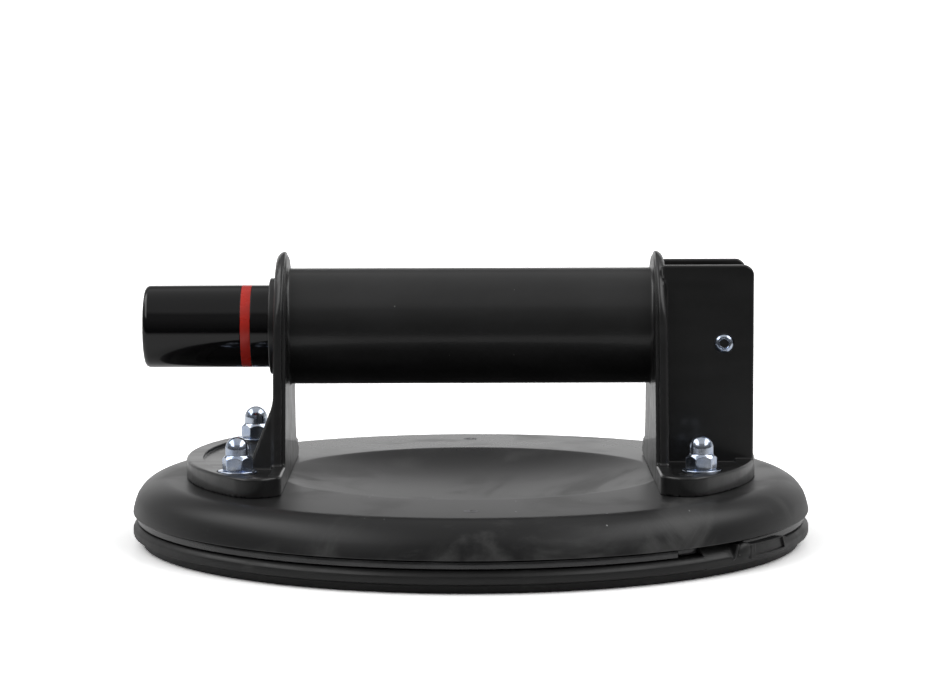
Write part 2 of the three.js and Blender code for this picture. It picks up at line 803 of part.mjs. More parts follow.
// Cover plate: convex rim, flat deck and central dish, hollow below.
function basePlate() {
  const rimCentre = [COVER_R - RIM_WIDTH, COVER_BOTTOM];
  const rim = arc(rimCentre, [RIM_WIDTH, DECK_Z - COVER_BOTTOM], 0, 80, 6);
  const innerRim = arc(rimCentre, [RIM_WIDTH - 3, DECK_Z - SHELL - COVER_BOTTOM], 0, 90, 3);
  const shell = turned(
    [
      ...rim,
      [DECK_R, DECK_Z],
      ...dishLine([1, 0.8, 0.6, 0.4, 0.2, 0], 0),
      ...dishLine([0, 0.4, 0.7, 1], SHELL),
      ...innerRim.reverse(),
    ],
    ROUND_LARGE,
  );
  const bossTop = DECK_Z - SHELL / 2;
  const studBosses = studPlaces().map(([x, y]) => rod(STUD_BOSS_R, COVER_BOTTOM, bossTop, x, y));
  const studHoles = studPlaces().map(([x, y]) => rod(STUD_R + LOOSE, 0, FOOT_TOP, x, y));
  const screwSides = [-1, 1].map((side) => side * DECK_SCREW_R);
  const screwBosses = screwSides.map((y) => rod(SCREW_BOSS_R, COVER_BOTTOM, bossTop, 0, y));
  const screwHoles = screwSides.map((y) => deckScrewShape(FIT).translate(0, y, 0));
  const portBoss = rod(PORT_BOSS_R, COVER_BOTTOM, bossTop, PORT_X, 0);
  const portHole = rod(PORT_R, 0, FOOT_TOP, PORT_X, 0);
  return cut(join(shell, ...studBosses, ...screwBosses, portBoss), ...studHoles, ...screwHoles, portHole);
}

// A countersunk screw, or with clearance the hole for it.
function deckScrewShape(clearance) {
  const headR = DECK_SCREW_HEAD_R + clearance;
  const shankR = SCREW_SHANK_R + clearance;
  const headDepth = 1.2;
  const headEdge = 0.3;
  return turned(
    [
      [0, PLATE_BOTTOM - clearance],
      [shankR, PLATE_BOTTOM - clearance],
      [shankR, DECK_Z - headDepth],
      [headR, DECK_Z - headEdge],
      [headR, DECK_Z + clearance],
      [0, DECK_Z + clearance],
    ],
    ROUND_SMALL,
  );
}

function deckScrew(side) {
  const half = 1.5;
  const slot = 0.25;
  const floor = DECK_Z - 0.8;
  const top = DECK_Z + OVERRUN;
  const slotA = box([-half, -slot, floor], [half, slot, top]);
  const slotB = box([-slot, -half, floor], [slot, half, top]);
  return cut(deckScrewShape(0), slotA, slotB).translate(0, side * DECK_SCREW_R, 0);
}

// Stiff disc between the cover plate and the rubber, cut back beside the pull tab.
function backingPlate() {
  const disc = rod(PLATE_R, PLATE_BOTTOM, PLATE_TOP, 0, 0, ROUND_LARGE);
  const studHoles = studPlaces().map(([x, y]) => rod(STUD_R + FIT, 0, DECK_Z, x, y));
  const screwHoles = [-1, 1].map((side) => rod(SCREW_SHANK_R + FIT, 0, DECK_Z, 0, side * DECK_SCREW_R));
  const portHole = rod(PORT_R, 0, DECK_Z, PORT_X, 0);
  const fingerRecess = ringSector(RECESS_R, PLATE_R + OVERRUN, RECESS_START, RECESS_END, 0, DECK_Z);
  return cut(disc, ...studHoles, ...screwHoles, portHole, fingerRecess);
}

// Rubber pad: sealing lip, shallow cavity below, groove above the lip, and the pull tab.
function suctionPad() {
  const disc = turned(
    [
      [0, PAD_CAVITY],
      [PAD_CAVITY_R, PAD_CAVITY],
      [87.5, 0.6],
      [PAD_SEAL_IN_R, 0],
      [PAD_SEAL_R, 0],
      [PAD_SEAL_R + 0.5, 2.3],
      [PAD_LIP_R, 2.9],
      [PAD_LIP_R, 5.3],
      [PLATE_R, PAD_TOP],
      [0, PAD_TOP],
    ],
    ROUND_LARGE,
  );
  const tabLow = 3.4;
  const knuckle = ringSector(RECESS_R + 0.4, TAB_R, TAB_START, KNUCKLE_END, tabLow, 8.6);
  const tongue = ringSector(PLATE_R + 0.2, TAB_R, TAB_START, TAB_END, tabLow, 8);
  const pocketLow = 4.8;
  const studPockets = studPlaces().map(([x, y]) => rod(STUD_HEAD_R + LOOSE, pocketLow, DECK_Z, x, y));
  const portHole = rod(PORT_R, 0, DECK_Z, PORT_X, 0);
  const filterPocket = rod(PORT_BOSS_R + LOOSE, 0, PAD_CAVITY + 1.4, PORT_X, 0);
  return cut(join(disc, knuckle, tongue), ...studPockets, portHole, filterPocket);
}

// ---- Studs, washers and nuts ----

function studPlaces() {
  return [
    [-STUD_LEFT_X, -STUD_Y],
    [-STUD_LEFT_X, STUD_Y],
    [STUD_RIGHT_X, -STUD_Y],
    [STUD_RIGHT_X, STUD_Y],
  ];
}

function stud() {
  const headLow = 5.1;
  const headTop = PLATE_BOTTOM - FIT / 2;
  const chamfer = 0.5;
  return turned(
    [
      [0, headLow],
      [STUD_HEAD_R, headLow],
      [STUD_HEAD_R, headTop],
      [STUD_R, headTop],
      [STUD_R, STUD_TOP - chamfer],
      [STUD_R - chamfer, STUD_TOP],
      [0, STUD_TOP],
    ],
    ROUND_SMALL,
  );
}

function washer() {
  const low = WASHER_SEAT + 0.02;
  return ring(WASHER_R, STUD_R + 2 * FIT, low, WASHER_SEAT + WASHER_THICK, 20);
}

// Cap nut: hexagon with a chamfered top, neck and dome, with a blind thread.
function capNut() {
  const seat = WASHER_SEAT + WASHER_THICK + 0.03;
  const top = seat + NUT_HEIGHT;
  const hexTop = seat + NUT_HEX;
  const corner = NUT_FLATS / 2 / Math.cos(Math.PI / 6);
  const chamfer = 0.5;
  const envelope = turned(
    [
      [0, seat],
      [corner - chamfer, seat],
      [corner, seat + chamfer],
      [corner, hexTop - 2 * chamfer],
      [NUT_DOME_R + chamfer, hexTop],
      [0, hexTop],
    ],
    12,
  );
  const hex = geometryOf(solidOf(slabUpZ(hexagon(NUT_FLATS), seat, top)).intersect(solidOf(envelope)));
  const dome = turned(
    [
      [0, seat + 1],
      [NUT_DOME_R, seat + 1],
      ...arc([0, top - NUT_DOME_R], [NUT_DOME_R, NUT_DOME_R], 0, 72, 3),
      [0, top],
    ],
    16,
  );
  return cut(join(hex, dome), rod(STUD_R + FIT / 2, seat - OVERRUN, STUD_TOP + 2 * FIT));
}

// ---- Assembly ----

const assembly = new THREE.Group();

function place(name, geometry, finish, x = 0, y = 0) {
  const mesh = new THREE.Mesh(geometry, new THREE.MeshStandardMaterial(FINISHES[finish]));
  mesh.name = name;
  mesh.position.set(x, y, 0);
  assembly.add(mesh);
}

place("handle", handle(), "moulded");
place("pump_collar", pumpCollar(), "moulded");
place("pump_cylinder", pumpCylinder(), "steel");
place("plunger", plunger(), "gloss");
place("red_indicator_band", redBand(), "red");
place("piston", piston(), "acetal");
place("piston_seal", pistonSeal(), "rubber");
place("plunger_spring", plungerSpring(), "steel");
place("cylinder_head", cylinderHead(), "acetal");
place("head_o_ring", headORing(), "rubber");
place("check_valve", checkValve(), "rubber");
place("release_stem", releaseStem(), "brass");
place("valve_o_ring", valveORing(), "rubber");
place("valve_spring", valveSpring(), "steel");
place("release_lever", releaseLever(), "moulded");
place("lever_pivot_screw", leverPivotScrew(), "zinc");
place("lever_pivot_nut", leverPivotNut(), "zinc");
place("vacuum_hose", vacuumHose(), "rubber");
place("pad_fitting", padFitting(), "brass");
place("port_filter", portFilter(), "felt");
place("base_plate", basePlate(), "cover");
place("base_screw_front", deckScrew(-1), "zinc");
place("base_screw_rear", deckScrew(1), "zinc");
place("backing_plate", backingPlate(), "plate");
place("suction_pad", suctionPad(), "rubber");
studPlaces().forEach(([x, y], index) => {
  place(`stud_${index + 1}`, stud(), "zinc", x, y);
  place(`washer_${index + 1}`, washer(), "zinc", x, y);
  place(`cap_nut_${index + 1}`, capNut(), "zinc", x, y);
});

export default assembly;
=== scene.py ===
"""Looks for the vacuum suction cup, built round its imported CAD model.

Shapes are in millimetres until shown() turns them into metres. Materials, light and
camera are in metres. Each moulded piece is the zero surface of a distance function,
negative inside the piece.
"""

import json
import math

import bmesh
import bpy
import numpy as np
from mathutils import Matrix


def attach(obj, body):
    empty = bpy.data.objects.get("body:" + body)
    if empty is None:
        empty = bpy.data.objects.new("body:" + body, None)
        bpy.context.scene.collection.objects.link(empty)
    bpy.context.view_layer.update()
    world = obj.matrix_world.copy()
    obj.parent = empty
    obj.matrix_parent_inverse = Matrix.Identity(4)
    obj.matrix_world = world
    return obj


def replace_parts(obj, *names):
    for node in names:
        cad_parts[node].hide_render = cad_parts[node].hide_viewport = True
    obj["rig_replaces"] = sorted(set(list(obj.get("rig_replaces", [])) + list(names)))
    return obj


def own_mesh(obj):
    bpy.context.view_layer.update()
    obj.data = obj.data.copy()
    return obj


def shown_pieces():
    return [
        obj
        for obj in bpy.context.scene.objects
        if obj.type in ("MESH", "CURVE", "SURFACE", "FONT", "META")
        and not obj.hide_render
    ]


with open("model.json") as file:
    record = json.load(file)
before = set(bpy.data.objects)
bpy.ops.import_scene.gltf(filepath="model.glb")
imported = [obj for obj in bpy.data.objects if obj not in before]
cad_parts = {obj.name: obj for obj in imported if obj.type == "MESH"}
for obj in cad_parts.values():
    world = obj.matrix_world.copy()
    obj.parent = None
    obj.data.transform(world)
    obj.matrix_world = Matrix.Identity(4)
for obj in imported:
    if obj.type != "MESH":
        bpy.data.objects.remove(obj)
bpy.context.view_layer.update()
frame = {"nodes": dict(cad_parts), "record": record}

MM = 0.001

# Grip and uprights. The grip runs along X at GRIP_Z, the same to the left and right.
GRIP_Z = 64.05
GRIP_R = 17.35
BORE_R = 14.6
BORE_END = 53.0
HEAD_HOLE_R = 11.5
UPRIGHT_IN = 54.2
UPRIGHT_STEP = 55.3
UPRIGHT_OUT = 57.9
ARCH_R = 22.5
ARCH_SETBACK = 1.5
CROWN_RISE = 14
LEG_TAPER = math.radians(10.7)
LEG_REACH = 42
LEG_FLARE_FRONT = 1.2
LEG_FLARE_REAR = 9.0

# Gusset ribs outside the left upright.
GUSSET_RISE = 19
GUSSET_RUN = 7.4
GUSSET_INSET = 1.5
GUSSET_HALF = 1.2

# Feet and housing.
FOOT_R = 85.3
FOOT_CORNER_R = 7.5
FOOT_REAR_CORNER_R = 10.5
FOOT_BOTTOM = 19.75
FOOT_TOP = 25.4
FOOT_FLOOR = 24.4
FOOT_RIM = 5.0
BOSS_R = 6.3
WASHER_SEAT = 24.9
WASHER_SEAT_R = 6.0
CHEEK_IN = 12.4
CHEEK_OUT = 15.6
CHEEK_CORNER_R = 3.0
HOUSING_END = 83.8
HOUSING_TOP = 83.0
END_WALL_TOP = 47.0
END_WALL_HALF = 1.2
PIVOT_X = 75.0
PIVOT_Z = 59.8
PIVOT_SEAT_R = 2.85
VALVE_Z = 69.2

# Release lever.
LEVER_HALF_WIDTH = 12.0
LEVER_MIDDLE_Z = 64.1
LEVER_HALF_HEIGHT = 15.6
LEVER_HUB_R = 4.2
LEVER_HUB_HALF = 8.0
LEVER_HOLE_R = 1.65
LEVER_BACK_X = 80.8
LEVER_NOSE_X = 72.6

# Pump.
PLUNGER_R = 12.35
PLUNGER_BORE_R = 9.85
PLUNGER_END = -97.5
GROOVE_R = 11.75
GROOVE_LEFT = -68.4
GROOVE_RIGHT = -65.4
COLLAR_R = 14.43
COLLAR_BORE_R = 12.65
HOSE_R = 3.65

# Base. Angles are in degrees about Z, from +X.
DECK_Z = 19.7
COVER_BOTTOM = 9.35
PLATE_BOTTOM = 6.9
PLATE_TOP = 8.9
PLATE_R = 100.1
RECESS_R = 97.6
DISH_R = 57.2
DISH_DEPTH = 6.5
LIP_R = 101.4
LIP_TOP = 6.6
TAB_START = -43.3
TAB_END = -28.5
RECESS_START = -55.3
RECESS_END = -40.2

# Fasteners.
STUD_LEFT_X = 67.4
STUD_RIGHT_X = 66.6
STUD_Y = 38.5
NUT_SEAT = WASHER_SEAT + 0.78
NUT_FLATS = 8.0
NUT_CORNER_R = 4.55
NUT_HEX_TOP = 4.4
NUT_DOME_R = 3.5
NUT_DOME_Z = 6.2
DECK_SCREW_R = 79.5
DECK_SCREW_HEAD_R = 2.2
PIVOT_HEAD_R = 2.7

# Steps round a turned shape.
FINE = 192
MEDIUM = 96
COARSE = 64
BASE_STEPS = 256

# Light levels, with 1 as plain white.
SOFTBOX = 2.0
FLOOR_WHITE = 2.1
FLOOR_BOUNCE = 0.85
FLOOR_GLOSS = 0.10
BACKGROUND = 1.2

# Camera, in metres and radians.
CAMERA_PLACE = (-0.0009, -0.9, 0.14375)
CAMERA_DIP = 0.0965
CAMERA_ROLL = 0.003
CAMERA_LENS = 116.0


# ---- Node materials ----


class Tree:
    """A short way to write a shader node tree."""

    def __init__(self, tree):
        self.tree = tree
        self.tree.nodes.clear()

    def add(self, kind, **settings):
        node = self.tree.nodes.new(kind)
        for key, value in settings.items():
            setattr(node, key, value)
        return node

    def link(self, source, target):
        self.tree.links.new(source, target)

    def feed(self, target, value):
        if isinstance(value, bpy.types.NodeSocket):
            self.link(value, target)
        elif isinstance(value, (tuple, list)) and len(value) == 3 and len(target.default_value) == 4:
            target.default_value = (*value, 1.0)
        else:
            target.default_value = value

    def math(self, operation, a, b=0.0, clamp=False):
        node = self.add("ShaderNodeMath", operation=operation, use_clamp=clamp)
        self.feed(node.inputs[0], a)
        self.feed(node.inputs[1], b)
        return node.outputs[0]

    def ramp(self, value, low, high, out_low=0.0, out_high=1.0):
        """A smooth step from one level to another."""
        node = self.add("ShaderNodeMapRange", clamp=True, interpolation_type="SMOOTHSTEP")
        ends = {"From Min": low, "From Max": high, "To Min": out_low, "To Max": out_high}
        for key, number in ends.items():
            self.feed(node.inputs[key], number)
        self.feed(node.inputs["Value"], value)
        return node.outputs[0]

    def mix(self, share, first, second):
        node = self.add("ShaderNodeMix", data_type="RGBA")
        self.feed(node.inputs[0], share)
        self.feed(node.inputs[6], first)
        self.feed(node.inputs[7], second)
        return node.outputs[2]

    def coordinates(self, source):
        split = self.add("ShaderNodeSeparateXYZ")
        self.link(source, split.inputs[0])
        return split.outputs


class Nodes(Tree):
    """One material built round a Principled shader."""

    def __init__(self, name):
        self.material = bpy.data.materials.new(name)
        self.material.use_nodes = True
        super().__init__(self.material.node_tree)
        self.output = self.add("ShaderNodeOutputMaterial")
        self.shader = self.add("ShaderNodeBsdfPrincipled")
        self.link(self.shader.outputs[0], self.output.inputs["Surface"])
        self.place = self.add("ShaderNodeTexCoord").outputs["Object"]

    def set(self, **inputs):
        for key, value in inputs.items():
            self.feed(self.shader.inputs[key.replace("_", " ")], value)
        return self

    def stretched(self, stretch):
        if stretch is None:
            return self.place
        mapping = self.add("ShaderNodeMapping")
        mapping.inputs["Scale"].default_value = stretch
        self.link(self.place, mapping.inputs["Vector"])
        return mapping.outputs[0]

    def noise(self, scale, detail=3.0, rough=0.5, stretch=None, distortion=0.0):
        node = self.add("ShaderNodeTexNoise")
        node.inputs["Scale"].default_value = scale
        node.inputs["Detail"].default_value = detail
        node.inputs["Roughness"].default_value = rough
        node.inputs["Distortion"].default_value = distortion
        self.link(self.stretched(stretch), node.inputs["Vector"])
        return node.outputs["Fac"]

    def dots(self, spacing, radius, keep):
        """Sparse round specks: 1 inside a speck. spacing is in metres, radius a share of it."""
        cells = self.add("ShaderNodeTexVoronoi", feature="F1")
        cells.inputs["Scale"].default_value = 1 / spacing
        self.link(self.place, cells.inputs["Vector"])
        chosen = self.add("ShaderNodeSeparateColor")
        self.link(cells.outputs["Color"], chosen.inputs[0])
        near = self.math("LESS_THAN", cells.outputs["Distance"], radius)
        kept = self.math("LESS_THAN", chosen.outputs[0], keep)
        return self.math("MULTIPLY", near, kept)

    def bump(self, height, distance, strength=1.0):
        node = self.add("ShaderNodeBump")
        node.inputs["Strength"].default_value = strength
        node.inputs["Distance"].default_value = distance
        self.link(height, node.inputs["Height"])
        self.link(node.outputs[0], self.shader.inputs["Normal"])
        return self


def moulded_plastic(name, base, gloss):
    """Satin plastic with a fine grain, faint flow streaks and dust."""
    n = Nodes(name)
    wear = n.noise(55, 5, 0.6)
    streaks = n.noise(30, 4, 0.6, stretch=(1, 6, 6))
    specks = n.dots(0.0032, 0.05, 0.10)
    lint = n.dots(0.0058, 0.045, 0.16)
    dust = n.math("MAXIMUM", specks, lint)
    tone = n.mix(n.ramp(wear, 0.35, 0.7), base, tuple(c * 1.5 for c in base))
    satin = n.ramp(streaks, 0.3, 0.75, gloss - 0.05, gloss + 0.07)
    n.set(
        Base_Color=n.mix(n.math("MULTIPLY", dust, 0.35), tone, (0.35, 0.35, 0.34)),
        Roughness=n.math("ADD", satin, n.math("MULTIPLY", dust, 0.3)),
        Specular_IOR_Level=0.5,
        Coat_Weight=0.35,
        Coat_Roughness=0.14,
    )
    return n.bump(n.noise(2600, 3, 0.6), 0.00002, 0.35).material


def polished_plastic(name):
    """Glossy black plastic with haze and hairline scratches."""
    n = Nodes(name)
    haze = n.noise(40, 4, 0.6)
    hairlines = n.noise(18, 6, 0.7, stretch=(60, 3, 3))
    dust = n.dots(0.004, 0.035, 0.08)
    scratches = n.ramp(hairlines, 0.62, 0.75, 0.0, 0.08)
    n.set(
        Base_Color=n.mix(n.math("MULTIPLY", dust, 0.3), (0.004, 0.004, 0.0045), (0.3, 0.3, 0.3)),
        Roughness=n.math("ADD", n.ramp(haze, 0.3, 0.8, 0.05, 0.12), scratches),
        Specular_IOR_Level=0.5,
    )
    return n.bump(hairlines, 0.00001, 0.1).material


def cover_plastic(name):
    """Dark plastic with pale smears, scuffs and dust, smoother at the back and dimmer in the dish."""
    n = Nodes(name)
    smear = n.noise(13, 7, 0.62, stretch=(1, 0.7, 1), distortion=1.4)
    cloud = n.noise(34, 6, 0.6, distortion=0.6)
    scuff = n.noise(90, 8, 0.72, stretch=(0.35, 1.6, 1))
    dust = n.dots(0.006, 0.045, 0.22)
    pale = n.math("MULTIPLY", n.ramp(smear, 0.46, 0.60), n.ramp(cloud, 0.38, 0.62))
    scuffs = n.math("MULTIPLY", n.ramp(scuff, 0.60, 0.78), 0.5)
    marks = n.math("MAXIMUM", n.math("MULTIPLY", pale, 0.8), scuffs)
    tone = n.mix(n.math("MULTIPLY", marks, 0.14), (0.012, 0.012, 0.0125), (0.5, 0.5, 0.49))
    x, y, _ = n.coordinates(n.place)
    from_axis = n.math("SQRT", n.math("ADD", n.math("MULTIPLY", x, x), n.math("MULTIPLY", y, y)))
    polish = n.ramp(y, -0.08, 0.07, 0.40, 0.27)
    n.set(
        Base_Color=n.mix(n.math("MULTIPLY", dust, 0.6), tone, (0.5, 0.5, 0.5)),
        Roughness=n.math("ADD", polish, n.math("MULTIPLY", marks, 0.15)),
        Specular_IOR_Level=n.ramp(from_axis, 0.050, 0.060, 0.27, 0.42),
    )
    return n.bump(n.noise(1900, 4, 0.6), 0.00003, 0.4).material


def rubber(name, base=(0.012, 0.012, 0.012), gloss=0.38):
    """Matte rubber with a pale bloom."""
    n = Nodes(name)
    bloom = n.noise(45, 6, 0.65, distortion=0.6)
    streak = n.noise(30, 6, 0.7, stretch=(1, 1, 9))
    dust = n.dots(0.003, 0.05, 0.12)
    pale = n.math("MULTIPLY", n.ramp(bloom, 0.5, 0.72), n.ramp(streak, 0.45, 0.7))
    tone = n.mix(n.math("MULTIPLY", pale, 0.10), base, (0.4, 0.4, 0.39))
    n.set(
        Base_Color=n.mix(n.math("MULTIPLY", dust, 0.4), tone, (0.5, 0.5, 0.48)),
        Roughness=n.ramp(bloom, 0.3, 0.7, gloss - 0.05, gloss + 0.12),
        Specular_IOR_Level=0.45,
    )
    return n.bump(n.noise(1400, 5, 0.65), 0.00004, 0.45).material


def painted_metal(name):
    n = Nodes(name)
    wear = n.noise(70, 6, 0.65, stretch=(1, 1, 4))
    n.set(
        Base_Color=n.mix(n.ramp(wear, 0.4, 0.75), (0.020, 0.020, 0.021), (0.05, 0.05, 0.052)),
        Roughness=n.ramp(wear, 0.3, 0.7, 0.16, 0.26),
        Specular_IOR_Level=0.7,
    )
    return n.bump(n.noise(900, 4, 0.6), 0.00002, 0.3).material


def red_paint(name):
    n = Nodes(name)
    uneven = n.noise(120, 4, 0.6)
    n.set(
        Base_Color=n.mix(n.ramp(uneven, 0.35, 0.7), (0.72, 0.035, 0.022), (0.60, 0.028, 0.018)),
        Roughness=n.ramp(uneven, 0.3, 0.7, 0.22, 0.38),
        Specular_IOR_Level=0.5,
    )
    return n.bump(uneven, 0.00003, 0.3).material


def metal(name, light, dark, gloss, grain, stretch=None, tint=None):
    """Bare or plated metal with two-tone patches and fine lines."""
    n = Nodes(name)
    patch = n.noise(300, 5, 0.6)
    lines = n.noise(grain, 5, 0.65, stretch=stretch)
    tone = n.mix(n.ramp(patch, 0.35, 0.7), light, dark)
    if tint:
        tone = n.mix(n.ramp(n.noise(160, 3, 0.5), 0.5, 0.7, 0.0, 0.5), tone, tint)
    n.set(
        Base_Color=tone,
        Metallic=1.0,
        Roughness=n.ramp(lines, 0.3, 0.75, gloss, gloss + 0.14),
    )
    return n.bump(lines, 0.00002, 0.35).material


def felt(name):
    n = Nodes(name)
    fibres = n.noise(2200, 8, 0.8, stretch=(1, 0.2, 1), distortion=2)
    tone = n.mix(fibres, (0.2, 0.2, 0.18), (0.45, 0.45, 0.41))
    n.set(Base_Color=tone, Roughness=0.95, Sheen_Weight=0.4)
    return n.bump(fibres, 0.0002, 0.8).material


# One finish for each material slot, and a dull zinc for the small screws in the deck.
LOOKS = {
    "moulded_abs": moulded_plastic("moulded_black", (0.009, 0.009, 0.0093), gloss=0.40),
    "gloss_abs": polished_plastic("polished_black"),
    "cover_plate": cover_plastic("cover_grey_black"),
    "backing_plate": painted_metal("backing_black"),
    "pad_rubber": rubber("pad_rubber_black"),
    "seal_rubber": rubber("seal_rubber_black", (0.02, 0.02, 0.02), gloss=0.35),
    "red_line": red_paint("red_line_paint"),
    "zinc_plate": metal(
        "zinc_bright",
        light=(0.76, 0.82, 0.92),
        dark=(0.50, 0.60, 0.80),
        gloss=0.12,
        grain=500,
        tint=(0.40, 0.52, 0.84),
    ),
    "dull_zinc": metal(
        "zinc_dull", light=(0.22, 0.22, 0.23), dark=(0.12, 0.12, 0.13), gloss=0.4, grain=700
    ),
    "spring_steel": metal(
        "spring_wire", light=(0.5, 0.5, 0.52), dark=(0.36, 0.36, 0.38), gloss=0.2, grain=900
    ),
    "cylinder_aluminium": metal(
        "drawn_aluminium",
        light=(0.75, 0.76, 0.78),
        dark=(0.62, 0.63, 0.65),
        gloss=0.25,
        grain=60,
        stretch=(1, 20, 20),
    ),
    "brass": metal(
        "turned_brass",
        light=(0.72, 0.5, 0.2),
        dark=(0.55, 0.36, 0.13),
        gloss=0.22,
        grain=700,
        stretch=(6, 6, 1),
    ),
    "acetal": moulded_plastic("acetal_white", (0.55, 0.54, 0.5), gloss=0.35),
    "filter_felt": felt("felt_grey"),
}


# ---- Mesh helpers ----


def shown(name, vertices, faces, slot, body, replaces=(), normals=None, sharp=35.0):
    """Makes a piece from millimetre vertices, gives it its finish and puts it on its body."""
    mesh = bpy.data.meshes.new(name)
    mesh.from_pydata((np.asarray(vertices, float) * MM).tolist(), [], faces)
    mesh.update()
    piece = bpy.data.objects.new(name, mesh)
    bpy.context.scene.collection.objects.link(piece)
    mesh.materials.append(LOOKS[slot])
    if normals is None:
        work = bmesh.new()
        work.from_mesh(mesh)
        bmesh.ops.recalc_face_normals(work, faces=work.faces)
        work.to_mesh(mesh)
        work.free()
        mesh.shade_smooth()
        mesh.set_sharp_from_angle(angle=math.radians(sharp))
    else:
        mesh.shade_smooth()
        mesh.normals_split_custom_set_from_vertices(normals.tolist())
    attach(piece, body)
    if replaces:
        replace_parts(piece, *replaces)
    return piece


def rounded(corners, steps=4):
    """A polyline of (radius, height) points from (radius, height, fillet) corners."""
    line = []
    for index, (x, y, fillet) in enumerate(corners):
        if not fillet or index in (0, len(corners) - 1):
            line.append((x, y))
            continue
        here = np.array([x, y])
        before = np.array(corners[index - 1][:2]) - here
        after = np.array(corners[index + 1][:2]) - here
        before /= np.linalg.norm(before)
        after /= np.linalg.norm(after)
        half = math.acos(max(-1, min(1, float(before @ after)))) / 2
        if half > math.radians(89):
            line.append((x, y))
            continue
        centre = here + (before + after) / np.linalg.norm(before + after) * fillet / math.sin(half)
        start = here + before * fillet / math.tan(half) - centre
        end = here + after * fillet / math.tan(half) - centre
        sweep = math.pi - 2 * half
        for step in range(steps + 1):
            t = step / steps
            mixed = (math.sin((1 - t) * sweep) * start + math.sin(t * sweep) * end) / math.sin(sweep)
            line.append(tuple(centre + mixed))
    return line


def lathe(profile, segments=FINE, closed=False):
    """Turns a (radius, height) profile about Z. Points on the axis become poles."""
    vertices, faces, rings = [], [], []
    for radius, height in profile:
        if radius < 1e-6:
            rings.append([len(vertices)])
            vertices.append((0.0, 0.0, height))
            continue
        rings.append(list(range(len(vertices), len(vertices) + segments)))
        for step in range(segments):
            angle = 2 * math.pi * step / segments
            vertices.append((radius * math.cos(angle), radius * math.sin(angle), height))
    pairs = list(zip(rings, rings[1:] + rings[:1] if closed else rings[1:]))
    for low, high in pairs:
        for step in range(segments):
            after = (step + 1) % segments
            if len(low) == 1 and len(high) == 1:
                continue
            if len(low) == 1:
                faces.append((low[0], high[after], high[step]))
            elif len(high) == 1:
                faces.append((low[step], low[after], high[0]))
            else:
                faces.append((low[step], low[after], high[after], high[step]))
    return np.array(vertices), faces


def along_x(vertices, height=GRIP_Z):
    """Lays a shape turned about Z along X at the given height, its Z becoming X."""
    v = np.asarray(vertices)
    return np.column_stack([v[:, 2], v[:, 1], -v[:, 0] + height])


def turned(corners, segments):
    """A solid or ring turned about Z, from (radius, height, fillet) corners."""
    on_axis = corners[0][0] == 0
    profile = rounded(corners) if on_axis else rounded([*corners, corners[0]])[:-1]
    return lathe(profile, segments, not on_axis)


def turned_along_x(node, corners, slot, body, segments=MEDIUM):
    """Replaces a CAD node by a shape turned about the grip's axis, the corners' height being X."""
    vertices, faces = turned(corners, segments)
    shown(f"{node}_turned", along_x(vertices), faces, slot, body, (node,))


def turned_up(node, corners, slot, segments, centre):
    """Replaces a CAD node on the frame by a shape turned about a Z axis through centre."""
    vertices, faces = turned(corners, segments)
    vertices = vertices + np.array([*centre, 0.0])
    shown(f"{node}_turned", vertices, faces, slot, "frame", (node,))


def tube_along(points, radius, sides=24):
    """A closed round bar through the points."""
    points = np.array(points, float)
    ahead = np.gradient(points, axis=0)
    ahead /= np.linalg.norm(ahead, axis=1)[:, None]
    side = np.cross(ahead, (0.0, 1.0, 0.0))
    side /= np.linalg.norm(side, axis=1)[:, None]
    other = np.cross(ahead, side)
    turn = 2 * math.pi * np.arange(sides) / sides
    radii = np.broadcast_to(radius, len(points))[:, None, None]
    ring = np.cos(turn)[None, :, None] * side[:, None, :]
    ring = ring + np.sin(turn)[None, :, None] * other[:, None, :]
    vertices = (points[:, None, :] + radii * ring).reshape(-1, 3)
    faces = []
    for index in range(len(points) - 1):
        for step in range(sides):
            after = (step + 1) % sides
            a, b = index * sides, (index + 1) * sides
            faces.append((a + step, a + after, b + after, b + step))
    faces.append(tuple(range(sides))[::-1])
    faces.append(tuple(range(len(vertices) - sides, len(vertices))))
    return vertices, faces


def soft_max(a, b, radius):
    """Intersection of two distances with a rounded edge."""
    outside = np.hypot(np.maximum(radius + a, 0), np.maximum(radius + b, 0))
    return np.minimum(-radius, np.maximum(a, b)) + outside


def soft_min(a, b, radius):
    """Union of two distances with a fillet between them."""
    inside = np.hypot(np.maximum(radius - a, 0), np.maximum(radius - b, 0))
    return np.maximum(radius, np.minimum(a, b)) - inside


def smooth_step(value):
    """0 below 0, 1 above 1, with a smooth rise between."""
    share = np.clip(value, 0, 1)
    return share * share * (3 - 2 * share)


def gradient(distance, points):
    """The slope of a distance function at each point."""
    reach = 0.02
    slope = np.empty_like(points)
    for axis in range(3):
        step = np.zeros(3)
        step[axis] = reach
        ahead = distance(*(points + step).T)
        behind = distance(*(points - step).T)
        slope[:, axis] = (ahead - behind) / (2 * reach)
    return slope


